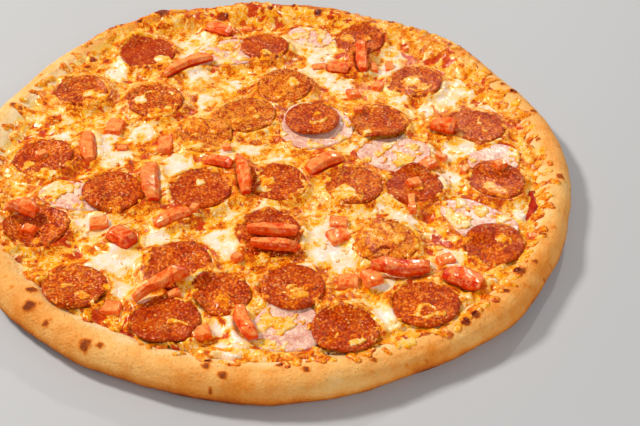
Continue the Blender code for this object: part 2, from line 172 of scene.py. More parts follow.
class Graph:
    """A tree of nodes."""

    def __init__(self, tree):
        self.tree = tree

    def node(self, kind, settings=None, sockets=None, output=0):
        """Adds a node: its settings or a ramp's stops first, and then its sockets' values or links."""
        made = self.tree.nodes.new(kind)
        for key, value in (settings or {}).items():
            if key == "stops":
                self.set_stops(made.color_ramp.elements, value)
            else:
                setattr(made, key, value)
        for key, value in (sockets or {}).items():
            self.feed(pick(made.inputs, key), value)
        return Value(self, pick(made.outputs, output))

    def set_stops(self, marks, stops):
        """Gives a ramp its stops of (position, colour)."""
        while len(marks) < len(stops):
            marks.new(0.5)
        for mark, (position, colour) in zip(marks, stops):
            mark.position = position
            mark.color = (*colour, 1.0)

    def feed(self, socket, value):
        """Links a Value to a socket, or gives the socket a plain value."""
        if isinstance(value, Value):
            self.tree.links.new(value.socket, socket)
        elif isinstance(value, tuple) and len(value) == 3 and socket.type == "RGBA":
            socket.default_value = (*value, 1.0)
        else:
            socket.default_value = value


# %% Hold one material's nodes
class Finish(Graph):
    """A material that is built up from nodes."""

    def __init__(self, name):
        self.material = bpy.data.materials.new(name)
        self.material.use_nodes = True
        super().__init__(self.material.node_tree)
        self.shader = self.tree.nodes["Principled BSDF"]
        self.place = self.node("ShaderNodeTexCoord", output="Object")

    def field(self, name):
        """A number that the mesh carries at its points."""
        return self.node("ShaderNodeAttribute", {"attribute_name": name}, output="Fac")

    def cloud(self, size, detail=3.0, roughness=0.55, distortion=0.0):
        """Soft noise of about 0 to 1 whose blotches are about size metres across."""
        sockets = {"Vector": self.place, "Scale": 1 / size, "Detail": detail}
        sockets.update({"Roughness": roughness, "Distortion": distortion})
        return self.node("ShaderNodeTexNoise", None, sockets)

    def cells(self, size):
        """Distance to the nearest of many scattered points that are about size metres apart."""
        sockets = {"Vector": self.place, "Scale": 1 / size}
        return self.node("ShaderNodeTexVoronoi", None, sockets, output="Distance")

    def strands(self, size, thinness, distortion=1.5):
        """Thin winding lines about size metres apart: 1 along a line and 0 away from it."""
        winding = self.cloud(size, 2.0, 0.5, distortion) - 0.5
        return 1 - (winding * winding).between(0.0, thinness * thinness)

    def mix(self, factor, first, second):
        """A colour that goes from first to second as factor goes from 0 to 1."""
        sockets = {"Factor_Float": factor, "A_Color": first, "B_Color": second}
        return self.node("ShaderNodeMix", {"data_type": "RGBA"}, sockets, output="Result_Color")

    def ramp(self, value, stops):
        """A colour read from stops of (position, colour)."""
        return self.node("ShaderNodeValToRGB", {"stops": stops}, {"Fac": value}, output="Color")

    def bump(self, height, depth, strength=1.0):
        """A normal that follows height, whose full range stands for depth metres."""
        sockets = {"Height": height, "Distance": depth, "Strength": strength}
        return self.node("ShaderNodeBump", None, sockets)

    def done(self, **sockets):
        """Sets the shader's own sockets, named with underscores for spaces."""
        for key, value in sockets.items():
            self.feed(self.shader.inputs[key.replace("_", " ")], value)
        return self.material


def shade(red, green, blue):
    """A colour as the eye reads it, 0 to 255, turned into the light that the renderer needs."""
    return tuple(((c / 255 + 0.055) / 1.055) ** 2.4 if c > 10 else c / 3295 for c in (red, green, blue))


print("cream as light:", [round(c, 3) for c in shade(250, 232, 196)])

# %% [markdown]
# ## Height fields
#
# Cheese, sauce and whatever lies on them are best thought of as maps: for each point of a square grid,
# how high is the surface and what colour is it. A map is quick to blur, to roughen and to fit under a
# slice. The grid's step is less than two pixels of the picture, so little that is visible is lost.

# %% The grid
STEP = 1.1 * MM
HALF_WIDTH = 203 * MM
AXIS = np.arange(-HALF_WIDTH, HALF_WIDTH + STEP, STEP)
X, Y = np.meshgrid(AXIS, AXIS, indexing="ij")
RADIUS = np.hypot(X, Y)
BEARING = np.degrees(np.arctan2(Y, X))
print("grid points:", X.size)


# %% Take a part of the grid
def window(x, y, reach):
    """The rows and the columns of the grid that lie within reach of x, y."""
    return tuple(slice(*np.searchsorted(AXIS, (at - reach, at + reach))) for at in (x, y))


def along_and_beside(x, y, turn, part=...):
    """How far each point of a part of the grid is along, and beside, a turned line through x, y."""
    dx, dy = X[part] - x, Y[part] - y
    return dx * math.cos(turn) + dy * math.sin(turn), dy * math.cos(turn) - dx * math.sin(turn)


# %% Smooth noise on the grid
def noise(x, y, size, seed, octaves=1, fade=0.5):
    """Soft random heights of about -1 to 1 at places x, y, in blotches about size metres across."""
    total, weight, norm = np.zeros_like(x), 1.0, 0.0
    for octave in range(octaves):
        draw = np.random.RandomState(seed * 31 + octave)
        table = draw.uniform(-1, 1, (64, 64))
        turn = draw.uniform(0, math.tau)
        u = (x * math.cos(turn) - y * math.sin(turn)) / size + draw.uniform(0, 64)
        v = (x * math.sin(turn) + y * math.cos(turn)) / size + draw.uniform(0, 64)
        i, j = np.floor(u).astype(int), np.floor(v).astype(int)
        s, t = u - i, v - j
        s, t = s * s * (3 - 2 * s), t * t * (3 - 2 * t)
        a, b = table[i % 64, j % 64], table[(i + 1) % 64, j % 64]
        c, d = table[i % 64, (j + 1) % 64], table[(i + 1) % 64, (j + 1) % 64]
        total += weight * ((a * (1 - s) + b * s) * (1 - t) + (c * (1 - s) + d * s) * t)
        norm += weight
        weight *= fade
        size /= 2
    return total / norm * 1.5


def step_up(value, low, high):
    """0 below low, 1 above high and smooth in between."""
    share = np.clip((value - low) / (high - low), 0, 1)
    return share * share * (3 - 2 * share)


# %% Blur a map and grow a mask
def soften(field, reach):
    """The field blurred over about reach metres."""
    cells = max(1, int(round(reach / STEP)))
    for _ in range(3):
        for side in (0, 1):
            margins = [(cells + 1, cells) if n == side else (0, 0) for n in (0, 1)]
            padded = np.pad(field, margins, mode="edge")
            sums = np.cumsum(padded, axis=side)
            size = field.shape[side]
            after = np.take(sums, range(2 * cells + 1, 2 * cells + 1 + size), axis=side)
            before = np.take(sums, range(0, size), axis=side)
            field = (after - before) / (2 * cells + 1)
    return field


def eased(values, axis=0):
    """Values on a closed ring, each averaged a little with its two neighbours."""
    return 0.25 * np.roll(values, 1, axis) + 0.5 * values + 0.25 * np.roll(values, -1, axis)


STRAIGHT = ((1, 0), (-1, 0), (0, 1), (0, -1))
DIAGONAL = ((1, 1), (1, -1), (-1, 1), (-1, -1))


def grown(mask, cells):
    """The mask with its edge moved out by a number of cells, a little further diagonally each time."""
    for n in range(cells):
        wider = mask.copy()
        for i, j in STRAIGHT + (DIAGONAL if n % 2 else ()):
            wider |= np.roll(mask, (i, j), (0, 1))
        mask = wider
    return mask


def inset(mask, cells):
    """How many cells each point of the mask lies inside its edge, up to a number of cells."""
    depth = np.zeros(mask.shape)
    for n in range(cells):
        depth += ~grown(~mask, n)
    return depth


# %% Read heights from the plain model
def tree_of(mesh):
    """A mesh made ready for rays to be cast at it."""
    corners = [vertex.co.copy() for vertex in mesh.vertices]
    return BVHTree.FromPolygons(corners, [tuple(face.vertices) for face in mesh.polygons])


TREES = {name: tree_of(node.data) for name, node in NODES.items()}
SKY = 0.2


def height_at(tree, x, y, from_above=True):
    """Where a plumb line at x, y first meets a solid, or None."""
    start = Vector((x, y, SKY if from_above else -SKY))
    hit = tree.ray_cast(start, Vector((0, 0, -1 if from_above else 1)))[0]
    return hit.z if hit is not None else None


def cells_over(name):
    """The grid's points inside a node's box, as pairs of a row and a column."""
    low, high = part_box(name)
    for i in range(*np.searchsorted(AXIS, (low.x, high.x))):
        for j in range(*np.searchsorted(AXIS, (low.y, high.y))):
            yield i, j


def read_map(name, from_above=True):
    """A node's heights over the whole grid, with no number where the node isn't."""
    found = np.full(X.shape, np.nan)
    for i, j in cells_over(name):
        z = height_at(TREES[name], AXIS[i], AXIS[j], from_above)
        if z is not None:
            found[i, j] = z
    return found


cheese_plain = read_map("cheese")
sauce_plain = read_map("sauce")
dough_plain = read_map("dough")
dough_top = np.where(np.isfinite(dough_plain), dough_plain, 0)
print("cheese cells:", int(np.isfinite(cheese_plain).sum()))

# %% Read where the toppings are
slices_low = np.full(X.shape, np.nan)
covers = {}
for kind, names in (("ham", HAM), ("pepperoni", PEPPERONI), ("tomato", TOMATO)):
    cover = np.zeros(X.shape, bool)
    for name in names:
        underside = read_map(name, from_above=False)
        cover |= np.isfinite(underside)
        slices_low = np.fmin(slices_low, underside)
    covers[kind] = cover
covered = covers["ham"] | covers["pepperoni"] | covers["tomato"]
print({kind: int(cover.sum()) for kind, cover in covers.items()})

# %% [markdown]
# ## Making a piece
#
# Every piece is a mesh that carries a few numbers at its points, such as how baked it is there. Its
# material reads them, and so the colour follows the shape.


# %% Let a mesh carry numbers for its material
def carry(mesh, fields):
    """Gives a mesh one number per corner under each label."""
    for label, values in fields.items():
        carried = mesh.attributes.new(label, "FLOAT", "POINT")
        carried.data.foreach_set("value", np.asarray(values, np.float32).reshape(-1))


# %% Hand a mesh over as a piece
def finish_piece(name, mesh, finish, node_names=()):
    """Links a mesh as a piece of the pizza, smooth, in its material and on its body."""
    mesh.shade_smooth()
    mesh.materials.clear()
    mesh.materials.append(finish)
    piece = bpy.data.objects.new(name, mesh)
    bpy.context.scene.collection.objects.link(piece)
    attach(piece, BODY)
    for node_name in node_names:
        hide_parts(node_name)
    print(name, "faces:", len(mesh.polygons))
    return piece


# %% Mend a mesh
WELD = 0.02 * MM


def mend(mesh, weld=0.0):
    """Turns a mesh's faces outward, after joining corners within weld metres and filling holes."""
    shape = bmesh.new()
    shape.from_mesh(mesh)
    if weld:
        bmesh.ops.remove_doubles(shape, verts=shape.verts, dist=weld)
        bmesh.ops.holes_fill(shape, edges=shape.edges)
    bmesh.ops.recalc_face_normals(shape, faces=shape.faces)
    shape.to_mesh(mesh)
    shape.free()


# %% [markdown]
# ## Turning a map into a solid sheet
#
# A sheet of cheese or sauce has a top, an underside and a ragged outline. Only the grid's squares
# inside the outline are kept. The top dips below its neighbours at the outline, so that the squares'
# corners are hidden and only a soft lip shows. The underside is never seen, so it is a plain fan.


# %% Make a sheet from a map
def make_sheet(name, inside, top, floor_height, fields, finish, node_names=()):
    """A closed sheet over the grid points inside, with the fields carried at its points."""
    squares = inside[:-1, :-1] & inside[1:, :-1] & inside[:-1, 1:] & inside[1:, 1:]
    used = np.zeros(inside.shape, bool)
    for i, j in ((0, 0), (1, 0), (0, 1), (1, 1)):
        used[i:used.shape[0] - 1 + i, j:used.shape[1] - 1 + j] |= squares
    number = np.full(inside.shape, -1)
    count = int(used.sum())
    number[used] = np.arange(count)
    i, j = np.nonzero(squares)
    quads = np.stack([number[i, j], number[i + 1, j], number[i + 1, j + 1], number[i, j + 1]], 1)
    sides = {(a, b) for n in range(4) for a, b in quads[:, [n, (n + 1) % 4]].tolist()}
    outline = sorted((a, b) for a, b in sides if (b, a) not in sides)
    foot = {a: count + n for n, a in enumerate(sorted({point for side in outline for point in side}))}
    points = np.stack([X[used], Y[used], top[used]], 1)
    feet = points[sorted(foot)].copy()
    feet[:, 2] = np.minimum(floor_height, feet[:, 2] - 0.1 * MM)
    hub = np.append(feet.mean(0)[:2], feet[:, 2].min())
    walls = [(b, a, foot[a], foot[b]) for a, b in outline]
    underside = [(foot[b], foot[a], count + len(foot)) for a, b in outline]
    mesh = bpy.data.meshes.new(name)
    corners = np.concatenate([points, feet, [hub]]).tolist()
    mesh.from_pydata(corners, [], quads.tolist() + walls + underside)
    rest = np.zeros(len(mesh.vertices) - count)
    carry(mesh, {label: np.append(values[used], rest) for label, values in fields.items()})
    return finish_piece(name, mesh, finish, node_names)


# %% [markdown]
# ## Crust
#
# The crust is bread: dry, matt and golden, paler where the dough stretched and browner low down on the
# outside. Its section changes gently round the pizza. Rays are shot out of the middle of the rim, in
# many directions at many bearings, and the distances they travel are smoothed and roughened.

# %% Crust material
crust = Finish("crust_finish")
toast = crust.field("toast")
cheesy = crust.field("cheesy")
mottle = crust.cloud(9 * MM, 5.0, 0.6)
fine = crust.cloud(1.6 * MM, 4.0, 0.6)
shade_of_crust = toast + 0.30 * (mottle - 0.5) + 0.22 * (fine - 0.5)
crust_colour = crust.ramp(shade_of_crust, [
    (0.00, shade(255, 222, 166)), (0.25, shade(254, 190, 106)), (0.50, shade(241, 145, 46)),
    (0.72, shade(206, 98, 6)), (0.88, shade(140, 58, 4)), (1.00, shade(76, 30, 4)),
])
cheesy_here = (cheesy + 0.5 * (mottle - 0.5) + 0.3 * (fine - 0.5)).between(0.3, 0.62)
cheesy_colour = crust.ramp(shade_of_crust, [
    (0.10, shade(252, 214, 120)), (0.35, shade(246, 174, 50)), (0.55, shade(230, 128, 16)),
    (0.75, shade(186, 80, 8)), (0.95, shade(96, 32, 4)),
])
crust_colour = crust.mix(cheesy_here, crust_colour, cheesy_colour)
pore = crust.cells(2.3 * MM).between(0.0, 0.32)
wrinkle = crust.cloud(3.5 * MM, 4.0, 0.6, 2.5)
crust_relief = 1.0 * fine + 0.4 * mottle + 0.5 * wrinkle + 0.5 * pore
CRUST_FINISH = crust.done(
    Base_Color=crust_colour, Roughness=0.62 + 0.2 * mottle - 0.3 * cheesy_here,
    Normal=crust.bump(crust_relief, 1.1 * MM, 0.9), Specular_IOR_Level=0.2,
    Subsurface_Weight=0.10, Subsurface_Scale=0.004, Subsurface_Radius=(1.0, 0.5, 0.25),
)

# %% Sizes of the crust's mesh
CRUST_BEARINGS = 720
CRUST_TURNS = 96
FIRST_TURN = math.radians(172)
LAST_TURN = math.radians(-158)
CORE_RADIUS = 184 * MM
CORE_HEIGHT = 9 * MM
RIM_SIZE = 12 * MM
WELL_RADIUS = 150 * MM
WELL_FLOOR = 5 * MM

# Brown spots and blisters on the crust: x, y and radius in mm.
CRUST_SPOTS = [
    (-88, -173, 4.6), (-80, -174, 2.8), (-126, -135, 4.2), (-124, -148, 4.4), (-125, -163, 2.0),
    (-113, -159, 2.4), (-22, -186, 3.2), (-21, -182, 2.6), (-13, -191, 3.0), (-19, -197, 1.4),
    (16, -182, 3.0), (30, -186, 3.0), (66, -177, 2.2), (123, -142, 3.0), (117, -147, 3.6),
    (142, -123, 2.6), (152, -105, 5.0), (162, -97, 2.6), (170, -73, 3.0), (168, -105, 1.2),
    (189, -15, 3.8), (182, 58, 3.4), (171, 82, 4.0), (164, 92, 3.0), (181, 26, 2.6), (140, 140, 2.6),
    (152, 127, 2.0), (128, 150, 3.0), (104, 164, 2.6), (84, 172, 3.0), (67, 185, 3.4), (50, 182, 3.6),
    (26, 182, 4.4), (36, 176, 4.0), (6, 189, 3.0), (-12, 184, 3.4), (-28, 185, 4.2), (-57, 182, 3.0),
    (-50, 172, 7.0), (-86, 180, 3.0), (-97, 168, 9.0), (-112, 154, 3.0), (-132, 144, 4.4),
    (-126, 149, 3.4), (-142, 138, 2.4), (-140, 108, 4.0), (-182, 41, 3.2), (-176, 38, 2.0),
    (-172, 80, 1.4), (-180, -24, 2.6), (-174, -62, 3.0), (-166, -88, 2.4),
]
CRUST_FLECKS = 170


# %% Crust mesh
def spin_average(grid, reach):
    """The rows blurred round the whole circle."""
    steps = range(-3 * reach, 3 * reach + 1)
    weights = [math.exp(-((n / reach) ** 2)) for n in steps]
    total = sum(weight * np.roll(grid, n, 0) for n, weight in zip(steps, weights))
    return total / sum(weights)


def make_crust():
    """The rim as rays find it in the plain dough, smoothed, roughened and hung with blisters."""
    tree = TREES["dough"]
    bearings = np.arange(CRUST_BEARINGS) * math.tau / CRUST_BEARINGS
    turns = np.linspace(FIRST_TURN, LAST_TURN, CRUST_TURNS)
    reach = np.zeros((CRUST_BEARINGS, CRUST_TURNS))
    for b, bearing in enumerate(bearings):
        out = Vector((math.cos(bearing), math.sin(bearing), 0))
        core = out * CORE_RADIUS + Vector((0, 0, CORE_HEIGHT))
        for t, turn in enumerate(turns):
            ray = out * math.cos(turn) + Vector((0, 0, math.sin(turn)))
            reach[b, t] = tree.ray_cast(core, ray)[3]
    reach = spin_average(reach, 7)
    for _ in range(3):
        reach[:, 1:-1] = 0.25 * reach[:, :-2] + 0.5 * reach[:, 1:-1] + 0.25 * reach[:, 2:]
    grid_bearing, grid_turn = np.meshgrid(bearings, turns, indexing="ij")
    radius = CORE_RADIUS + reach * np.cos(grid_turn)
    height = CORE_HEIGHT + reach * np.sin(grid_turn)
    x, y = radius * np.cos(grid_bearing), radius * np.sin(grid_bearing)
    arc = grid_bearing * CORE_RADIUS
    across_rim = grid_turn * RIM_SIZE
    swell = 0.8 * MM * noise(arc, across_rim, 24 * MM, 3, 3)
    swell += 0.26 * MM * noise(arc, across_rim, 5 * MM, 4, 3)
    spot, bubble = crust_spots(x, y, height)
    open_side = step_up(height, 0.5 * MM, 4 * MM)
    push = (swell + bubble) * open_side
    radius += push * np.cos(grid_turn)
    height = np.maximum(height + push * np.sin(grid_turn), 0.0)
    fields = crust_fields(grid_bearing, arc, across_rim, radius, height, spot)
    return crust_mesh(radius, height, bearings, fields)


# %% Spots and colour of the crust
def crust_spots(x, y, height):
    """How burnt each point is, and how far its blister swells."""
    upper = step_up(height, 8 * MM, 12 * MM)
    spot, bubble = np.zeros_like(x), np.zeros_like(x)
    wobble = 1 + 0.22 * noise(x, y, 3 * MM, 8, 3, 0.6)
    for spot_x, spot_y, size in CRUST_SPOTS:
        away = np.hypot(x - spot_x * MM, y - spot_y * MM) / (0.8 * size * MM) * wobble
        spot = np.maximum(spot, step_up(1.1 - away, 0, 0.45) * upper)
        bubble += 0.22 * size * MM * np.exp(-away ** 2) * upper
    draw = np.random.RandomState(19)
    for _ in range(CRUST_FLECKS):
        bearing = draw.uniform(0, math.tau)
        away_from_middle = draw.uniform(176, 199) * MM
        size = draw.uniform(0.5, 1.3) * MM
        dx = x - away_from_middle * math.cos(bearing)
        dy = y - away_from_middle * math.sin(bearing)
        fleck = draw.uniform(0.2, 0.7) * np.exp(-(dx * dx + dy * dy) / size ** 2)
        spot = np.maximum(spot, fleck * upper)
    return spot, bubble


def crust_fields(bearing, arc, across_rim, radius, height, spot):
    """How brown the crust is, and where molten cheese has run over it."""
    outside = step_up(radius, 188 * MM, 199 * MM) * (1 - step_up(height, 4 * MM, 13 * MM))
    inside = 1 - step_up(radius, 174 * MM, 190 * MM)
    toast_map = 0.38 + 0.44 * outside - 0.32 * inside
    toast_map += 0.13 * noise(arc, across_rim, 34 * MM, 11, 3)
    toast_map += 0.08 * noise(arc, across_rim, 9 * MM, 12, 3)
    degrees = np.degrees(bearing)
    far = np.exp(-((degrees - 92) / 50) ** 6)
    toast_map += 0.22 * far * step_up(height, 9 * MM, 15 * MM)
    toast_map -= 0.10 * np.exp(-(((degrees + 10) % 360 - 190) / 50) ** 4)
    toast_map = np.where(height < 1.2 * MM, 0.66, toast_map)
    toast_map += (0.93 - toast_map) * 0.88 * spot
    edge = 196 * MM * far + 177 * MM * (1 - far) + 4 * MM * noise(arc, across_rim, 11 * MM, 13, 3)
    cheesy_map = (1 - step_up(radius, edge - 3 * MM, edge + 2 * MM)) * step_up(height, 8 * MM, 12 * MM)
    return {"toast": toast_map, "cheesy": cheesy_map}


# %% Close the crust's mesh
def crust_mesh(radius, height, bearings, fields):
    """The rim's strip of rings, closed over the well and under the foot."""
    inner_radius = np.minimum(radius[:, :1], WELL_RADIUS)
    radius = np.concatenate([inner_radius, radius, inner_radius], 1)
    well, foot = np.full_like(inner_radius, WELL_FLOOR), np.zeros_like(inner_radius)
    height = np.concatenate([well, height, foot], 1)
    rows, columns = radius.shape
    x = radius * np.cos(bearings)[:, None]
    y = radius * np.sin(bearings)[:, None]
    points = np.stack([x, y, height], 2).reshape(-1, 3)
    row, column = np.meshgrid(np.arange(rows), np.arange(columns - 1), indexing="ij")
    after = (row + 1) % rows
    quads = np.stack([
        row * columns + column, row * columns + column + 1,
        after * columns + column + 1, after * columns + column,
    ], 2).reshape(-1, 4)
    top_ring = [n * columns for n in range(rows)]
    foot_ring = [n * columns + columns - 1 for n in range(rows)][::-1]
    mesh = bpy.data.meshes.new("crust")
    mesh.from_pydata(points.tolist(), [], quads.tolist() + [top_ring, foot_ring])
    around = ((0, 0), (1, 1))
    carry(mesh, {label: np.pad(values, around, mode="edge") for label, values in fields.items()})
    mend(mesh)
    return finish_piece("crust", mesh, CRUST_FINISH, ["dough"])


crust_piece = make_crust()

# %% [markdown]
# ## Sauce
#
# Tomato sauce shows as dark, wet red patches where the cheese stops short of the crust. It is thin, so
# it follows the dough under it, and it shines because the tomato keeps its water.

# %% Sauce
sauce = Finish("sauce_finish")
sauce_lumps = sauce.cloud(3 * MM, 4.0)
SAUCE_FINISH = sauce.done(
    Base_Color=sauce.ramp(sauce_lumps, [
        (0.25, shade(118, 8, 2)), (0.55, shade(176, 26, 6)), (0.8, shade(214, 72, 16)),
    ]),
    Roughness=0.10 + 0.12 * sauce_lumps, Normal=sauce.bump(sauce_lumps, 0.9 * MM),
    Specular_IOR_Level=0.4, Specular_Tint=(1.0, 0.5, 0.25),
)
SAUCE_INNER_RADIUS = 150 * MM
sauce_inside = np.isfinite(sauce_plain) & (RADIUS > SAUCE_INNER_RADIUS)
sauce_lip = inset(sauce_inside | (RADIUS < SAUCE_INNER_RADIUS + 9 * MM), 3) / 3
sauce_top = np.where(sauce_inside, sauce_plain, dough_top) + 0.5 * MM * noise(X, Y, 7 * MM, 21, 2)
sauce_top = sauce_top * sauce_lip + (dough_top - 1.0 * MM) * (1 - sauce_lip)
make_sheet("sauce_layer", sauce_inside, sauce_top, 5.2 * MM, {}, SAUCE_FINISH, ["sauce"])

# %% [markdown]
# ## Melted cheese
#
# White cheese and orange cheese were shredded together, so the blanket is neither one colour nor one
# height. White pools stand a little proud and keep crisp edges. Between them lies orange cheese and oil,
# with small browned blisters. Two maps describe it: how baked each point is, and how much sauce shows
# through. The first step is to take the plain cheese's height, without the dice that are part of it.

# %% The plain cheese without its dice
# Dice of tomato that are part of the plain cheese: x, y, length, width in mm, and turn in degrees.
TOMATO_DICE = [
    (29, 111, 12, 8, 10), (73, 90, 10, 8, 60), (55, 78, 10, 9, 20), (104, -4, 13, 10, 45),
    (46, -62, 12, 10, 0), (46, -76, 14, 12, 30), (52, -114, 13, 10, 0), (66, -113, 12, 12, 20),
    (110, -93, 12, 8, 25), (-109, 27, 17, 12, 80), (-72, 10, 18, 10, 95), (-101, -73, 12, 10, 15),
    (-81, -142, 13, 10, 0), (-28, -160, 12, 9, 20), (82, 115, 12, 7, 95), (112, 9, 14, 6, -35),
]
cheese_inside = ~grown(~np.isfinite(cheese_plain), 1)
base = np.where(np.isfinite(cheese_plain), cheese_plain, dough_top)
dice_cover = np.zeros(X.shape, bool)
for x, y, length, width, turn in TOMATO_DICE:
    along, beside = along_and_beside(x * MM, y * MM, math.radians(turn))
    in_length = np.abs(along) < length / 2 * MM + 2 * STEP
    dice_cover |= in_length & (np.abs(beside) < width / 2 * MM + 2 * STEP)
kept = np.where(dice_cover, 0.0, 1.0)
filled = soften(base * kept, 5 * MM) / np.maximum(soften(kept, 5 * MM), 1e-3)
base = np.where(dice_cover, filled, base)
print("cells under dice:", int(dice_cover.sum()))

# %% [markdown]
# The pools are placed one by one, because their layout is what makes this pizza this one and not
# another.
# Each is a disc with a wandering edge, so neighbours run into one another as melted cheese does.

# %% Where the cheese is white, where it is orange and where sauce shows: x, y and radius in mm
WHITE_POOLS = [
    (-66, 138, 19), (-62, 116, 12), (-36, 122, 8), (-60, 93, 10), (-114, 108, 9), (-118, 92, 8),
    (12, 148, 14), (28, 128, 13), (38, 146, 8), (22, 106, 10), (48, 88, 10), (34, 96, 8), (86, 134, 10),
    (82, 112, 10), (132, 92, 15), (122, 76, 10), (106, 62, 9), (126, 16, 13), (106, 12, 8),
    (116, -14, 11), (128, -50, 14), (152, 66, 7), (40, -84, 19), (50, -96, 10), (36, -66, 9),
    (70, -116, 8), (14, -148, 15), (20, -168, 7), (74, -142, 9), (114, -92, 10), (102, -98, 7),
    (-104, -76, 13), (-84, -102, 16), (-96, -112, 10), (-28, -82, 12), (-20, -92, 8), (-26, -126, 8),
    (-10, -168, 12), (-24, -154, 7), (-70, -36, 11), (-60, -10, 12), (-66, -84, 8), (-128, -46, 11),
    (-118, 4, 14), (-112, 14, 8), (-102, -8, 9), (-90, 22, 8), (-28, 2, 11), (-16, 8, 8),
    (-64, -136, 8), (8, -4, 8), (26, 14, 9), (2, -56, 10), (26, -108, 7), (-142, 10, 9), (92, 22, 7),
    (60, 16, 7), (86, -58, 10), (74, -46, 8), (-50, 62, 7), (-34, 84, 8), (-6, 100, 8), (88, 72, 7),
    (-76, -20, 8), (160, -50, 5), (-10, -146, 8), (40, -172, 5), (-78, -128, 8), (138, -110, 7),
]
ORANGE_POOLS = [
    (-152, 42, 26), (-160, -44, 18), (-134, -108, 14), (-54, 74, 17), (30, -48, 22), (8, -8, 12),
    (52, -132, 17), (144, -102, 8), (70, 74, 14), (120, -130, 10), (78, -166, 8), (-88, 84, 12),
    (-120, 122, 12), (-20, 22, 16), (56, 52, 10), (-110, -140, 9), (-38, -60, 10), (-12, -108, 10),
    (96, 44, 10), (148, 108, 12), (166, 66, 8), (168, 20, 8), (-100, 60, 10), (-62, 36, 9),
    (-4, 120, 8), (-62, -64, 9), (178, -28, 5), (112, -60, 7), (36, 60, 9), (104, -66, 9),
    (-136, 88, 10),
]
SAUCE_SPOTS = [
    (9, 172, 8), (30, 178, 7), (-82, 160, 6), (-30, 170, 9), (-18, 166, 6), (122, 116, 10),
    (140, 104, 6), (66, 168, 7), (98, 132, 6), (172, -38, 7), (172, 40, 6), (160, 22, 5), (40, -182, 6),
    (98, -152, 6), (-74, -156, 7), (-42, -174, 6), (-128, -86, 7), (-166, 22, 6), (-156, 18, 7),
    (108, -72, 8), (90, -32, 6), (-120, -92, 6), (-84, -148, 5), (-2, 62, 4), (42, 30, 4),
    (136, -104, 5), (54, 132, 6), (-104, 150, 5), (-30, -36, 4), (62, -28, 5), (8, -92, 4),
    (-60, -102, 4), (130, -120, 6), (46, 172, 6),
]


def wander(reach, size, seed, octaves, fade):
    """The grid's points pushed about, so that what is drawn on them gets a wandering edge."""
    push_x, push_y = (reach * noise(X, Y, size, seed + n, octaves, fade) for n in (0, 1))
    return X + push_x, Y + push_y


def pool(places, x, y, radius, inner, outer):
    """1 inside a round pool and 0 outside, with its edge between two shares of the radius."""
    away = np.hypot(places[0] - x * MM, places[1] - y * MM) / (radius * MM)
    return 1 - step_up(away, inner, outer)


def pools(rows, seed):
    """1 in the middle of each round pool, falling to 0 at its wandering edge."""
    places = wander(5 * MM, 13 * MM, seed, 4, 0.65)
    return np.max([pool(places, *row, 0.55, 1.15) for row in rows], axis=0)


white = pools(WHITE_POOLS, 41)
orange = pools(ORANGE_POOLS, 43) * (1 - 0.6 * white)
sauce_shows = pools(SAUCE_SPOTS, 45)
print("white share:", round(float(white[cheese_inside].mean()), 2))

# %% [markdown]
# Shreds and burst bubbles are too many to place by hand. They are stamped at random, from a fixed seed.


# %% Stamp soft strokes
SHRED_RADIUS = 184 * MM
RING_RADIUS = 180 * MM


def stroke(x, y, turn, half, width, bow=0.0):
    """A soft stroke: its window, its strength there and how far along it each point is."""
    here = window(x, y, half + 3 * width)
    along, beside = along_and_beside(x, y, turn, here)
    beside = beside + bow * (along * along / half - half / 3)
    past = np.maximum(np.abs(along) - half, 0)
    return here, np.exp(-(beside ** 2 + past ** 2) / (width * width)), along


def stamp_shreds(count, length, width, seed):
    """A map of short soft strokes laid at random, as shreds of cheese fall."""
    draw = np.random.RandomState(seed)
    stamped = np.zeros(X.shape)
    for _ in range(count):
        radius = SHRED_RADIUS * math.sqrt(draw.uniform())
        bearing, turn = draw.uniform(0, math.tau, 2)
        x, y = radius * math.cos(bearing), radius * math.sin(bearing)
        half, bow = length * draw.uniform(0.3, 0.65), draw.uniform(-0.6, 0.6)
        here, strength, _ = stroke(x, y, turn, half, width, bow)
        stamped[here] = np.maximum(stamped[here], strength * draw.uniform(0.6, 1.0))
    return stamped


shreds = stamp_shreds(1000, 13 * MM, 1.5 * MM, 51)
curds = stamp_shreds(2200, 4 * MM, 1.4 * MM, 53)
print("shred cover:", round(float((shreds > 0.5).mean()), 2))


# %% Stamp burst bubbles
def stamp_rings(count, smallest, largest, seed):
    """Two maps of round burst bubbles: their raised brown lips and their sunken floors."""
    draw = np.random.RandomState(seed)
    lips, floors = np.zeros(X.shape), np.zeros(X.shape)
    for _ in range(count):
        radius = RING_RADIUS * math.sqrt(draw.uniform())
        bearing = draw.uniform(0, math.tau)
        size = smallest + (largest - smallest) * draw.uniform() ** 2
        x, y = radius * math.cos(bearing), radius * math.sin(bearing)
        here = window(x, y, 2.5 * size)
        away = np.hypot((X[here] - x) * draw.uniform(0.7, 1.2), Y[here] - y) / size
        strength = draw.uniform(0.4, 1.0)
        lips[here] = np.maximum(lips[here], strength * np.exp(-((away - 0.8) / 0.35) ** 2))
        floors[here] = np.maximum(floors[here], strength * np.exp(-((away / 0.6) ** 2)))
    return lips, floors


ring_lips, ring_floors = stamp_rings(900, 1.4 * MM, 4.0 * MM, 57)

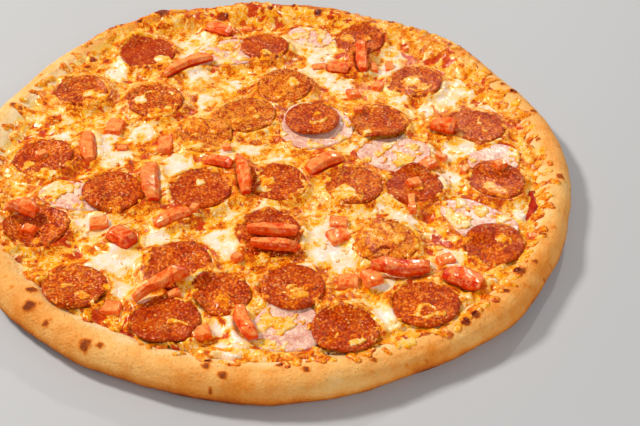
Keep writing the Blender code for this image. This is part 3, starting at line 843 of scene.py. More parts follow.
# %% How baked the cheese is, and how much sauce shows
blotch = noise(X, Y, 15 * MM, 61, 4, 0.6)
grain = noise(X, Y, 4.2 * MM, 63, 3, 0.7)
crisp = step_up(noise(X, Y, 6 * MM, 69, 3, 0.6), 0.25, 0.75)
near_rim = step_up(RADIUS, 158 * MM, 180 * MM)
far_side = np.exp(-((BEARING - 92) / 52) ** 6)
torn = noise(X, Y, 7 * MM, 62, 5, 0.8)
creamy = 0.30 + 0.66 * white - 0.36 * orange + 0.55 * torn + 0.26 * (shreds - 0.3) + 0.14 * curds
creamy = step_up(creamy, 0.28, 0.62)
fried = 0.44 + 0.12 * blotch + 0.16 * grain - 0.12 * orange + 0.22 * crisp
fried += 0.06 * near_rim * far_side - 0.12 * shreds - 0.10 * curds
cream = 0.06 + 0.09 * grain + 0.05 * blotch + 0.09 * (1 - white)
baked = fried + (cream - fried) * creamy
baked += 0.32 * ring_lips * (1 - 0.2 * creamy) + 0.22 * ring_floors
redness = 0.9 * step_up(sauce_shows + 0.6 * noise(X, Y, 5 * MM, 65, 4, 0.65), 0.5, 0.95)
seep = noise(X, Y, 7 * MM, 67, 4, 0.65) - 0.65 * creamy - 0.3 * shreds - 0.2 * orange
seep = step_up(seep, 0.13, 0.42)
redness = np.maximum(redness, 0.8 * seep)
print("creamy share:", round(float(creamy[cheese_inside].mean()), 2))

# %% How high the cheese stands over the plain solid
relief = 0.5 * white + 1.1 * creamy + 0.5 * orange + 0.7 * shreds
relief += 0.5 * curds + 0.45 * grain + 0.4 * blotch
relief += 0.6 * ring_lips - 0.9 * ring_floors - 1.2 * redness + 0.4 * crisp - 1.3
cheese_top = base + relief * 0.9 * MM

# %% [markdown]
# A slice isn't laid on set cheese. It sinks while the cheese is soft, and the cheese swells against its
# edge. So the map rises to the slice's edge over a few millimetres, and keeps just clear under it.

# %% Lift the cheese to the slices and tuck it under them
LIFT_CELLS = 6
low_edge = np.where(np.isfinite(slices_low), slices_low, -1)
edge_share = np.where(covered, 1.0, 0.0)
for n in range(LIFT_CELLS):
    wider = low_edge.copy()
    for i, j in STRAIGHT + (DIAGONAL if n % 2 else ()):
        wider = np.maximum(wider, np.roll(low_edge, (i, j), (0, 1)))
    edge_share = np.where((edge_share == 0) & (wider > 0), 1 - n / LIFT_CELLS, edge_share)
    low_edge = np.where(low_edge > 0, low_edge, wider)
meniscus = 2.2 * MM + 0.9 * MM * noise(X, Y, 12 * MM, 73, 2)
lifted = np.minimum(low_edge + meniscus, base + 5.0 * MM)
lift_share = step_up(edge_share, 0.0, 1.0) * (~covered) * (low_edge > 0)
# Cheese beside a slice is painted browner: partly orange oil from the sausage, partly painted shade
# where the slice's edge shadows it.
oil_and_shade_halo = lift_share * step_up(noise(X, Y, 8 * MM, 75, 3), -0.5, 0.4)
baked = np.minimum(baked + 0.20 * oil_and_shade_halo * (1 - 0.5 * creamy), 0.66)
cheese_top += np.maximum(lifted - cheese_top, 0) * lift_share
cheese_top = soften(cheese_top, 0.6 * STEP)
under_slice = np.where(np.isfinite(slices_low), slices_low + 0.35 * MM, np.inf)
cheese_top = np.minimum(cheese_top, under_slice)

# %% Cheese material
cheese = Finish("cheese_finish")
bake = cheese.field("baked")
red = cheese.field("redness")
speck = cheese.cloud(1.2 * MM, 4.0, 0.7)
swirl = cheese.cloud(4 * MM, 5.0, 0.65, 0.8)
pale_strand = cheese.strands(6 * MM, 0.04)
brown_strand = cheese.strands(11 * MM, 0.02, 3.0)
grainy = 0.35 + 0.65 * bake.between(0.12, 0.42)
strands = 0.22 * pale_strand - 0.14 * brown_strand
bake_here = bake + grainy * (0.52 * (speck - 0.5) + 0.68 * (swirl - 0.5) - strands)
cheese_colour = cheese.ramp(bake_here, [
    (0.00, shade(255, 232, 214)), (0.12, shade(255, 214, 148)), (0.25, shade(254, 186, 26)),
    (0.38, shade(249, 152, 2)), (0.52, shade(230, 104, 0)), (0.68, shade(184, 58, 0)),
    (0.90, shade(96, 22, 0)),
])
red_here = (red + 0.6 * (speck - 0.5)).between(0.25, 0.8)
cheese_colour = cheese.mix(red_here, cheese_colour, cheese.ramp(swirl, [
    (0.3, shade(164, 24, 0)), (0.52, shade(208, 58, 0)), (0.7, shade(238, 112, 14)),
]))
wet = cheese.cloud(3.4 * MM, 1.0, 0.5, 0.6)
cheese_relief = 0.9 * wet + 0.08 * speck + 0.12 * swirl + 0.12 * pale_strand
CHEESE_FINISH = cheese.done(
    Base_Color=cheese_colour, Roughness=0.08 + 0.12 * speck,
    Normal=cheese.bump(cheese_relief, 0.8 * MM),
    Subsurface_Weight=0.1, Subsurface_Scale=0.002, Subsurface_Radius=(1.0, 0.55, 0.25),
    Specular_IOR_Level=0.42, Specular_Tint=(1.0, 0.74, 0.5),
)

# %% Cheese mesh
ragged = inset(cheese_inside, 8) / 8 + 0.35 * noise(X, Y, 7 * MM, 71, 3)
cheese_lip = step_up(ragged, 0.05, 0.5)
cheese_top = cheese_top * cheese_lip + (dough_top - 1.4 * MM) * (1 - cheese_lip)
fields = {"baked": baked, "redness": redness}
make_sheet(
    "cheese_blanket", cheese_inside, cheese_top, 5.4 * MM, fields, CHEESE_FINISH, ["cheese"],
)

# %% [markdown]
# ## Cheese that crept up the crust
#
# Molten cheese runs up the inner side of the crust in short fingers and browns there first. It is one
# more sheet, laid over the fine crust. How far it reaches was read from the picture, bearing by bearing:
# hardly past the sauce on the near side, and right over the crest on the far side.

# %% Where the fingers end
# Bearing in degrees and how far from the middle the cheese reaches, in mm.
FRINGE_REACH = [
    (-180, 178), (-160, 180), (-138, 177), (-120, 175), (-100, 179), (-85, 181), (-70, 183), (-55, 186),
    (-40, 184), (-26, 182), (-5, 184), (10, 181), (25, 183), (40, 189), (60, 194), (92, 195),
    (125, 193), (145, 187), (160, 181), (180, 178),
]
FRINGE_INNER = 166 * MM
FRINGE_OUTER = 197 * MM
crust_tree = tree_of(crust_piece.data)
crust_top = np.zeros(X.shape)
for i, j in zip(*np.nonzero((RADIUS > FRINGE_INNER - 6 * MM) & (RADIUS < FRINGE_OUTER + 2 * MM))):
    crust_top[i, j] = height_at(crust_tree, X[i, j], Y[i, j]) or 0
fringe_bearings, fringe_reaches = zip(*FRINGE_REACH)
fringe_end = np.interp(BEARING, fringe_bearings, fringe_reaches) * MM


def stamp_fingers(count, seed):
    """Short rounded fingers of cheese at the fringe's end: how thick, and how baked."""
    draw = np.random.RandomState(seed)
    thick, level = np.zeros(X.shape), np.full(X.shape, 0.3)
    for _ in range(count):
        bearing = draw.uniform(-180, 180)
        reach = np.interp(bearing, fringe_bearings, fringe_reaches) * MM + draw.uniform(-7, 3) * MM
        x, y = reach * math.cos(math.radians(bearing)), reach * math.sin(math.radians(bearing))
        turn = math.radians(bearing) + draw.normal(0, 0.9)
        half, width = draw.uniform(0.2, 2.8) * MM, draw.uniform(1.5, 3.0) * MM
        here, strength, along = stroke(x, y, turn, half, width)
        browned = draw.uniform(0.22, 0.5) + 0.35 * (1 - strength) * step_up(along, -half, half + width)
        over = strength > thick[here]
        level[here] = np.where(over, browned, level[here])
        thick[here] = np.where(over, strength, thick[here])
    return thick, level


wave = noise(np.radians(BEARING) * CORE_RADIUS, RADIUS * 0.3, 9 * MM, 111, 3, 0.5)
fringe_depth = fringe_end - 5 * MM + 4.0 * MM * wave - RADIUS
solid_fringe = step_up(fringe_depth, 0.0, 2.4 * MM)
finger_thick, finger_baked = stamp_fingers(360, 115)
fringe_amount = np.maximum(solid_fringe, step_up(finger_thick, 0.15, 0.75))
print("fringe cells:", int((fringe_amount > 0.1).sum()))

# %% Mesh of the fringe
ground = soften(np.maximum(cheese_top, crust_top), 0.6 * STEP)
fringe_inside = (fringe_amount > 0.12) & (RADIUS > FRINGE_INNER) & (RADIUS < FRINGE_OUTER)
fringe_inside = grown(fringe_inside, 1) & (crust_top > 0)
fringe_start = step_up(RADIUS, FRINGE_INNER, FRINGE_INNER + 9 * MM)
fringe_top = ground + (-0.8 + 1.9 * fringe_amount + 0.3 * grain + 0.4 * ring_lips + 0.6 * blotch) * MM
fringe_top -= 1.6 * MM * (1 - fringe_start) + 0.8 * MM * (1 - inset(fringe_inside, 2) / 2)
tip = step_up(finger_thick - solid_fringe, -0.5, 0.1)
fringe_spot = crust_spots(X, Y, crust_top)[0]
fringe_baked = 0.30 + 0.14 * blotch + 0.30 * crisp - 0.08 * shreds
fringe_baked += (finger_baked - fringe_baked) * tip
fringe_baked += 0.10 * grain + 0.05 * far_side + 0.2 * ring_lips + 0.55 * fringe_spot
fringe_red = 0.8 * seep * (1 - tip)
fringe_fields = {"baked": fringe_baked, "redness": fringe_red}
make_sheet("cheese_fringe", fringe_inside, fringe_top, 6 * MM, fringe_fields, CHEESE_FINISH)

# %% [markdown]
# ## Slices of pepperoni and ham
#
# A slice is a thin disc whose edge is rounded over. The plain slice gives its outline, how it is bent
# over what lies below and how its edge curls. The fine disc copies those and adds the grainy surface of
# baked sausage, or the soft fibres of ham.

# %% Sizes of a slice's mesh
DISC_SIDES = 64
DISC_RINGS = 17
TOUCH = 0.97
LARGEST_DROOP = 2.4 * MM
CLEARANCE = 0.3 * MM


# %% Read a plain slice
def outline_of(tree, middle, widest):
    """The distance from the middle to a slice's outline, at even bearings."""
    reach = []
    for n in range(DISC_SIDES):
        turn = math.tau * n / DISC_SIDES
        near, far = 0.0, widest
        for _ in range(11):
            probe = (near + far) / 2
            x, y = middle.x + probe * math.cos(turn), middle.y + probe * math.sin(turn)
            if height_at(tree, x, y) is None:
                far = probe
            else:
                near = probe
        reach.append(near)
    reach = np.array(reach)
    for _ in range(3):
        reach = eased(reach)
    return reach


def droop_of(name, outline, middle, shares, turns, bottom):
    """How far a slice's edge hangs lower than the plain one, where nothing lies close below it."""
    low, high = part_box(name)
    others = []
    for other in PEPPERONI + HAM + TOMATO:
        other_low, other_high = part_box(other)
        if other != name and all(other_low[n] < high[n] and other_high[n] > low[n] for n in (0, 1)):
            others.append(TREES[other])
    gap = np.full(DISC_SIDES, LARGEST_DROOP)
    for k in range(DISC_RINGS // 2, DISC_RINGS):
        for n, turn in enumerate(turns):
            away = outline[n] * shares[k] * TOUCH
            x, y = middle.x + away * math.cos(turn), middle.y + away * math.sin(turn)
            below = cheese_top[np.searchsorted(AXIS, x), np.searchsorted(AXIS, y)]
            for tree in others:
                hit = tree.ray_cast(Vector((x, y, bottom[k, n])), Vector((0, 0, -1)))[0]
                below = max(below, hit.z if hit is not None else 0)
            gap[n] = min(gap[n], max(bottom[k, n] - below - CLEARANCE, 0) / shares[k] ** 3)
    for _ in range(6):
        gap = eased(gap)
    return gap[None, :] * (shares ** 3)[:, None]


def disc_maps(name):
    """The plain slice's middle, outline, top and underside, on rings and bearings."""
    low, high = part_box(name)
    middle = (low + high) / 2
    tree = TREES[name]
    outline = outline_of(tree, middle, (high - low).length)
    shares = np.linspace(0, 1, DISC_RINGS) ** 0.8
    turns = np.arange(DISC_SIDES) * math.tau / DISC_SIDES
    top, bottom = np.zeros((2, DISC_RINGS, DISC_SIDES))
    for k, share in enumerate(shares):
        for n, turn in enumerate(turns):
            away = outline[n] * share * TOUCH
            x, y = middle.x + away * math.cos(turn), middle.y + away * math.sin(turn)
            top[k, n] = height_at(tree, x, y) or middle.z
            bottom[k, n] = height_at(tree, x, y, from_above=False) or middle.z
    drop = droop_of(name, outline, middle, shares, turns, bottom)
    top, bottom = top - drop, bottom - drop
    for _ in range(2):
        for level in (top, bottom):
            level[:] = eased(level, 1)
            level[1:-1] = 0.25 * level[:-2] + 0.5 * level[1:-1] + 0.25 * level[2:]
    return middle, outline, shares, turns, top, bottom


# %% Make a fine disc from it
def make_disc(name, finish, round_over, roughen, melted=0.0):
    """A slice with a rounded edge, roughened by a function of place and share of the radius."""
    middle, outline, shares, turns, top, bottom = disc_maps(name)
    rings, edges = [], []

    def add(share, height, edge):
        """Adds a ring of corners at a share of the outline's reach."""
        x = middle.x + outline * share * np.cos(turns)
        y = middle.y + outline * share * np.sin(turns)
        rings.append(np.stack([x, y, height + roughen(x, y, edge)], 1))
        edges.append(np.full(DISC_SIDES, edge))

    for k, share in enumerate(shares):
        add(share * 0.985, top[k] - round_over * 0.6 * step_up(share, 0.92, 1.04), share)
    side_top, side_low = top[-1] - round_over * 0.9, bottom[-1] + round_over * 0.3
    for share, height in ((1.0, side_top), (1.0, (side_top + side_low) / 2), (0.99, side_low)):
        add(share, height, 1.0)
    for k in range(DISC_RINGS - 1, -1, -4):
        add(shares[k] * 0.97, bottom[k], 1.0)
    quads = [
        (k * DISC_SIDES + n, (k + 1) * DISC_SIDES + n,
         (k + 1) * DISC_SIDES + (n + 1) % DISC_SIDES, k * DISC_SIDES + (n + 1) % DISC_SIDES)
        for k in range(len(rings) - 1) for n in range(DISC_SIDES)
    ]
    mesh = bpy.data.meshes.new(name + "_slice")
    mesh.from_pydata(np.concatenate(rings).tolist(), [], quads)
    edge_map = np.concatenate(edges)
    carry(mesh, {"edge": edge_map, "melted": np.full(len(edge_map), melted)})
    mend(mesh, WELD)
    return finish_piece(name + "_slice", mesh, finish, [name])


# %% Pepperoni material
pepperoni = Finish("pepperoni_finish")
edge = pepperoni.field("edge")
meat = pepperoni.cloud(1.3 * MM, 5.0, 0.75)
patch = pepperoni.cloud(9 * MM, 3.0)
granule = pepperoni.cells(1.7 * MM)
fat_specks = 1 - (pepperoni.cells(2.9 * MM) + 0.5 * (meat - 0.5)).between(0.10, 0.34)
meat_shade = 0.84 - 0.80 * granule + 1.1 * (meat - 0.5) + 0.8 * (patch - 0.5)
meat_shade = meat_shade - 0.1 * edge.between(0.84, 0.97)
melted = pepperoni.field("melted")
veil = 0.65 * pepperoni.cloud(6 * MM, 5.0, 0.65, 1.0) + 0.35 * meat + 0.16 * melted
ruddy = 1 - melted.between(-0.6, 0.05)
meat_colour = pepperoni.ramp(meat_shade, [
    (0.12, shade(144, 34, 0)), (0.34, shade(176, 50, 0)), (0.54, shade(206, 72, 0)),
    (0.76, shade(242, 130, 6)),
])
meat_colour = pepperoni.mix(patch.between(0.45, 0.75) * 0.35, meat_colour, shade(222, 108, 16))
fat_share = 0.25 + 0.6 * patch.between(0.38, 0.62)
meat_colour = pepperoni.mix(fat_specks * fat_share, meat_colour, shade(250, 170, 66))
veil_colour = pepperoni.ramp(meat, [
    (0.3, shade(214, 96, 0)), (0.5, shade(240, 146, 12)), (0.7, shade(252, 196, 84)),
])
meat_colour = pepperoni.mix(0.7 * veil.between(0.58, 0.70), meat_colour, veil_colour)
meat_colour = pepperoni.mix(0.55 * ruddy, meat_colour, shade(164, 36, 0))
greasy_lumps = pepperoni.cloud(2.3 * MM, 1.0, 0.5)
PEPPERONI_FINISH = pepperoni.done(
    Base_Color=meat_colour, Roughness=0.08 + 0.12 * meat,
    Normal=pepperoni.bump(0.9 * greasy_lumps + 0.12 * meat - 0.2 * granule, 1.2 * MM),
    Specular_IOR_Level=0.32, Specular_Tint=(1.0, 0.52, 0.2),
)


# %% Pepperoni slices
def sausage_grain(x, y, share):
    """Pits and lumps, flatter towards the edge."""
    pits = noise(x, y, 2.2 * MM, 81, 2) + 0.7 * noise(x, y, 6 * MM, 83)
    return 0.20 * MM * pits * (1 - 0.5 * share)


# How far melting cheese covers a slice, or how red a bare one is when below 0. The rest are random.
VEILED = {
    "pepperoni_28": 0.9, "pepperoni_08": 0.9, "pepperoni_06": 0.8, "pepperoni_16": 0.35,
    "pepperoni_05": 0.7, "pepperoni_01": -0.5, "pepperoni_17": -0.2,
}
draw = np.random.RandomState(87)
for name in PEPPERONI:
    veiled = VEILED.get(name, draw.uniform(-0.3, 0.45))
    make_disc(name, PEPPERONI_FINISH, 0.9 * MM, sausage_grain, veiled)

# %% Ham material
ham = Finish("ham_finish")
fibre = ham.cloud(2.4 * MM, 4.0, 0.6, 1.2)
blush = ham.cloud(11 * MM, 2.0)
ham_colour = ham.ramp(1.0 * fibre + 0.6 * blush - 0.3, [
    (0.25, shade(212, 134, 108)), (0.5, shade(233, 176, 154)), (0.72, shade(251, 218, 198)),
])
film = (0.6 * ham.cloud(8 * MM, 5.0, 0.65) + 0.4 * ham.cloud(2 * MM, 3.0)).between(0.50, 0.60)
ham_colour = ham.mix(0.65 * film, ham_colour, shade(254, 226, 184))
ham_relief = ham.cloud(3 * MM, 1.0) + 0.15 * fibre
HAM_FINISH = ham.done(
    Base_Color=ham_colour, Roughness=0.14 + 0.16 * fibre,
    Normal=ham.bump(ham_relief, 0.8 * MM, 0.9), Specular_IOR_Level=0.3,
    Subsurface_Weight=0.12, Subsurface_Scale=0.002, Subsurface_Radius=(1.0, 0.45, 0.35),
)


# %% Ham slices
def ham_grain(x, y, share):
    """Low, soft waves, the same over the whole slice."""
    return 0.25 * MM * noise(x, y, 9 * MM, 85, 2)


for name in HAM:
    make_disc(name, HAM_FINISH, 0.7 * MM, ham_grain)

# %% [markdown]
# ## Cheese that melted over the slices
#
# Some cheese was scattered last. It lies over the slices in blots and strings, in rings where a bubble
# burst and in a lace over the ham, and it creeps over their edges. It is one more sheet, laid over the
# map of whatever is on top, so it drapes over each slice's edge.

# %% Where it lies
# Blots of cheese over the slices: x, y, radius in mm and how baked.
TOP_BLOTS = [
    (-88, 109, 6, 0.10), (-84, 105, 4, 0.16), (-132, 61, 6, 0.22), (-124, 57, 5, 0.14),
    (-130, 51, 5, 0.40), (-96, 57, 5, 0.10), (-76, 47, 5, 0.30), (-84, 43, 6, 0.42), (10, 83, 6, 0.12),
    (2, 71, 6, 0.46), (-55, 28, 11, 0.44), (-52, 7, 7, 0.16), (-40, 25, 5, 0.50), (68, 72, 13, 0.40),
    (80, 66, 8, 0.46), (64, 29, 4, 0.12), (98, 93, 8, 0.16), (106, 87, 6, 0.34), (92, 85, 5, 0.44),
    (146, -27, 10, 0.36), (152, -33, 5, 0.44), (144, -77, 5, 0.34), (-42, -31, 4, 0.14),
    (0, -29, 6, 0.36), (-4, -35, 4, 0.14), (49, -36, 9, 0.22), (58, -41, 5, 0.42), (-42, -120, 8, 0.24),
    (-34, -115, 5, 0.12), (24, -128, 6, 0.16), (30, -121, 4, 0.36), (69, -75, 14, 0.40),
    (63, -86, 9, 0.46), (82, -77, 5, 0.40), (58, -167, 6, 0.20), (-98, -137, 5, 0.36),
    (-108, -129, 4, 0.40), (-46, -153, 4, 0.34), (-18, 49, 6, 0.50), (-26, 37, 5, 0.44),
    (-14, 41, 4, 0.40), (-142, -29, 6, 0.30), (-156, -23, 5, 0.40), (-12, 121, 5, 0.34),
    (58, 137, 9, 0.50), (50, 150, 7, 0.42), (66, 149, 5, 0.50), (-90, -45, 4, 0.44),
    (-134, -93, 5, 0.46), (-19, -135, 7, 0.44), (104, -143, 4, 0.44), (96, -29, 5, 0.52),
    (4, -83, 3, 0.40),
]
# Rings of cheese over the slices: x, y and radius in mm.
TOP_RINGS = [
    (30, 40, 5), (147, 41, 5), (-11, 116, 6), (96, -139, 6), (144, -79, 6), (-2, -31, 7),
    (-146, -21, 10), (22, -127, 6), (-84, 53, 15), (-130, 57, 9), (-42, -157, 5), (101, 91, 11),
    (8, 79, 6), (-50, 13, 6),
]


def top_maps():
    """How much cheese lies on the slices at each point, and how baked it is."""
    places = wander(2.2 * MM, 6 * MM, 91, 3, 0.6)
    broken = step_up(noise(X, Y, 7 * MM, 94, 2), -0.3, 0.3)
    layers = [(pool(places, x, y, radius, 0.5, 1.2), level) for x, y, radius, level in TOP_BLOTS]
    for x, y, radius in TOP_RINGS:
        away = np.hypot(places[0] - x * MM, places[1] - y * MM)
        layers.append((np.exp(-((away - radius * MM) / (1.4 * MM)) ** 2) * broken, 0.22))
    sausage, either = covers["pepperoni"], covers["pepperoni"] | covers["ham"]
    bare_ham = covers["ham"] & ~grown(sausage, 2)
    lace = step_up(noise(X, Y, 6 * MM, 95, 4, 0.6), -0.16, 0.3) * bare_ham
    creep_area = (inset(~sausage, 1) + grown(~sausage, 2) > 0) * grown(sausage, 2)
    creep = 0.8 * creep_area * step_up(noise(X, Y, 8 * MM, 98, 3, 0.6), -0.05, 0.35)
    strings = 0.7 * stamp_shreds(160, 12 * MM, 1.1 * MM, 97) * either
    amount, bake_map = np.zeros(X.shape), np.full(X.shape, 0.3)
    for here, level in layers + [(lace, 0.14), (creep, 0.42), (strings, 0.24)]:
        bake_map = np.where(here > amount, level, bake_map)
        amount = np.maximum(amount, here)
    return amount, bake_map


def fine_tops():
    """The height of the finished slices over the whole grid."""
    found = np.full(X.shape, -1.0)
    for name in PEPPERONI + HAM:
        tree = tree_of(bpy.data.objects[name + "_slice"].data)
        for i, j in cells_over(name):
            found[i, j] = max(found[i, j], height_at(tree, AXIS[i], AXIS[j]) or -1.0)
    return found


TOPPED_RADIUS = 178 * MM
STEEPEST = 3.4 * MM
amount, bake_map = top_maps()
fine_top = np.maximum(cheese_top, fine_tops())
peak, pit = fine_top.copy(), fine_top.copy()
for _ in range(2):
    for i, j in STRAIGHT:
        peak = np.maximum(peak, np.roll(peak, (i, j), (0, 1)))
        pit = np.minimum(pit, np.roll(pit, (i, j), (0, 1)))
cliff = peak - pit > STEEPEST
drape = soften(fine_top, 0.6 * STEP)
near_slices = grown(covers["pepperoni"] | covers["ham"], 4)
top_inside = grown((amount > 0.12) & near_slices & (RADIUS < TOPPED_RADIUS), 1) & ~cliff
top_height = drape + (-0.75 + 1.5 * step_up(amount, 0.1, 0.8) + 0.2 * grain) * MM
top_height -= 0.8 * MM * (1 - inset(top_inside, 2) / 2)
print("cells of cheese on slices:", int(top_inside.sum()))

# %% Mesh of the cheese over the slices
top_baked = soften(bake_map, STEP) + 0.16 * grain + 0.2 * ring_lips + 0.12 * crisp
top_baked += 0.34 * (1 - step_up(amount, 0.3, 0.9))
top_fields = {"baked": top_baked, "redness": 0.6 * (1 - step_up(amount, 0.1, 0.5))}
make_sheet("cheese_over_slices", top_inside, top_height, 8 * MM, top_fields, CHEESE_FINISH)

# %% [markdown]
# ## Tomato
#
# The tomato is cut into strips and dice: a thin, tight, shiny skin on one side and wet, paler flesh on
# the rest. The plain bars are softened by subdividing them, with creases that keep the cut edges crisp,
# and then made uneven, because a ripe tomato never cuts square. Some pieces are riper than others.

# %% Tomato material
tomato = Finish("tomato_finish")
streak = tomato.cloud(5 * MM, 2.0, 0.5, 1.2)
pulp = tomato.cloud(1.2 * MM, 3.0)
skin = tomato.field("skin")
facing = tomato.field("facing")
ripe = tomato.field("ripe")
# The flesh's tone, with painted light: faces that look up are painted a little paler than the sides.
flesh_and_top_light = 0.8 * streak + 0.2 * pulp + 0.08 + 0.07 * facing.between(0.3, 0.95) - 0.2 * ripe
flesh_and_top_light_colour = tomato.ramp(flesh_and_top_light, [
    (0.34, shade(206, 28, 0)), (0.47, shade(230, 58, 0)), (0.60, shade(244, 94, 16)),
    (0.80, shade(252, 144, 68)),
])
cheese_film = (0.6 * tomato.cloud(5 * MM, 4.0, 0.6) + 0.4 * pulp + 0.12 * facing).between(0.56, 0.68)
tomato_colour = tomato.mix(skin.between(0.3, 0.7), flesh_and_top_light_colour, shade(214, 40, 2))
tomato_colour = tomato.mix(0.4 * cheese_film, tomato_colour, shade(254, 186, 108))
TOMATO_FINISH = tomato.done(
    Base_Color=tomato_colour, Roughness=0.08 + 0.14 * streak,
    Normal=tomato.bump(tomato.cloud(4 * MM, 1.0) + 0.12 * streak + 0.05 * pulp, 0.8 * MM, 0.9),
    Specular_IOR_Level=0.45, Specular_Tint=(1.0, 0.74, 0.5),
    Subsurface_Weight=0.15, Subsurface_Scale=0.003, Subsurface_Radius=(1.0, 0.3, 0.12),
)
CREASE = 0.62
SOFTEN_LEVELS = 3
UNEVENNESS = 0.75 * MM


# %% Read what a modifier makes of a mesh
def modified(mesh, kind, settings, inputs=None):
    """What one modifier makes of a mesh. A node tree's inputs are given by identifier."""
    worker = bpy.data.objects.new("worker", mesh)
    bpy.context.scene.collection.objects.link(worker)
    modifier = worker.modifiers.new("modifier", kind)
    for key, value in settings.items():
        setattr(modifier, key, value)
    for identifier, value in (inputs or {}).items():
        modifier[identifier] = value
    evaluated = worker.evaluated_get(bpy.context.evaluated_depsgraph_get())
    result = bpy.data.meshes.new_from_object(evaluated)
    bpy.data.objects.remove(worker)
    return result


# %% Soften a plain bar
def softened(source, name, seed):
    """A smooth copy of a plain solid, with its edges partly creased and its faces uneven."""
    shape = bmesh.new()
    shape.from_mesh(source)
    bmesh.ops.remove_doubles(shape, verts=shape.verts, dist=WELD)
    bmesh.ops.join_triangles(
        shape, faces=shape.faces,
        angle_face_threshold=math.radians(50), angle_shape_threshold=math.radians(60),
    )
    crease = shape.edges.layers.float.new("crease_edge")
    for side in shape.edges:
        if len(side.link_faces) == 2 and side.calc_face_angle() > math.radians(25):
            side[crease] = CREASE
    mesh = bpy.data.meshes.new(name)
    shape.to_mesh(mesh)
    shape.free()
    levels = {"levels": SOFTEN_LEVELS, "render_levels": SOFTEN_LEVELS}
    result = modified(mesh, "SUBSURF", levels)
    result.name = name
    points, normals = np.zeros((2, len(result.vertices) * 3))
    result.vertices.foreach_get("co", points)
    result.vertices.foreach_get("normal", normals)
    points, normals = points.reshape(-1, 3), normals.reshape(-1, 3)
    lumps = noise(points[:, 0] + points[:, 2], points[:, 1] - points[:, 2], 9 * MM, seed, 4, 0.6)
    points += normals * (UNEVENNESS * lumps)[:, None]
    result.vertices.foreach_set("co", points.reshape(-1))
    draw = np.random.RandomState(seed)
    toward = draw.uniform(0, math.tau)
    lean = normals[:, 0] * math.cos(toward) + normals[:, 1] * math.sin(toward)
    skin_map = step_up(lean + 0.5 * draw.choice([-1, 1]) * normals[:, 2] + 0.3 * lumps, 0.6, 0.85)
    ripe_map = np.full(len(points), draw.uniform(-0.5, 0.5))
    carry(result, {"skin": skin_map, "facing": np.maximum(normals[:, 2], 0), "ripe": ripe_map})
    return result


for number, name in enumerate(TOMATO):
    mesh = softened(NODES[name].data, name + "_piece", 200 + number)
    finish_piece(name + "_piece", mesh, TOMATO_FINISH, [name])

# %% The small dice
DICE_HEIGHT = 4.4 * MM
DICE_TAPER = 0.84

# Crumbs of tomato too small for the plain model: x, y, length, width in mm, and turn in degrees.
TOMATO_CRUMBS = [
    (94, -25, 10, 8, 20), (92, -44, 18, 5, 95), (-29, 164, 9, 5, 0), (152, -4, 9, 7, 30),
    (58, 52, 7, 6, 10), (-150, -10, 8, 6, 40), (-140, -84, 9, 7, -20), (128, -8, 7, 5, 60),
    (-47, -132, 8, 5, 30), (172, 44, 7, 6, 0), (-14, -98, 6, 5, 50), (36, -2, 6, 4, 80),
    (70, 112, 12, 5, 100), (-30, 6, 6, 5, 20), (-44, -58, 6, 5, 70), (164, -72, 6, 5, 0),
    (96, 142, 8, 4, 40), (-100, 4, 7, 5, 10), (30, 4, 5, 4, 45),
]


def level_at(x, y):
    """The height of whatever is on top at x, y in mm."""
    return fine_top[np.searchsorted(AXIS, x * MM), np.searchsorted(AXIS, y * MM)]


def make_dice():
    """All the small dice in one mesh, each a tapered block before it is softened."""
    shape = bmesh.new()
    for x, y, length, width, turn in TOMATO_DICE + TOMATO_CRUMBS:
        tall = min(DICE_HEIGHT, 0.75 * width * MM)
        middle = Vector((x * MM, y * MM, level_at(x, y) + tall * 0.2))
        stretch = Matrix.Diagonal((length * MM, width * MM, tall, 1))
        turned = Matrix.Rotation(math.radians(turn), 4, "Z") @ stretch
        made = bmesh.ops.create_cube(shape, size=1.0, matrix=Matrix.Translation(middle) @ turned)
        for corner in made["verts"]:
            if corner.co.z > middle.z:
                corner.co.xy = middle.xy + DICE_TAPER * (corner.co.xy - middle.xy)
    mesh = bpy.data.meshes.new("plain_dice")
    shape.to_mesh(mesh)
    shape.free()
    return softened(mesh, "tomato_dice", 240)


finish_piece("tomato_dice", make_dice(), TOMATO_FINISH)

# %% [markdown]
# ## Things too many to place
#
# Beads of oil on the sausage and small curds on the cheese come by the hundred. A Geometry Nodes tree
# scatters one small rounded shape over a surface. Where it may lie is read from a field on the mesh, so
# beads keep to the tops of the slices.


# %% Build the scattering tree
DROP_SIDES = 8
DROP_RINGS = 5
SCATTER_INPUTS = {
    "Geometry": "Geometry", "Density": "Float", "Smallest": "Float", "Largest": "Float",
    "Flatness": "Float", "Length": "Float", "Seed": "Int", "Finish": "Material",
}


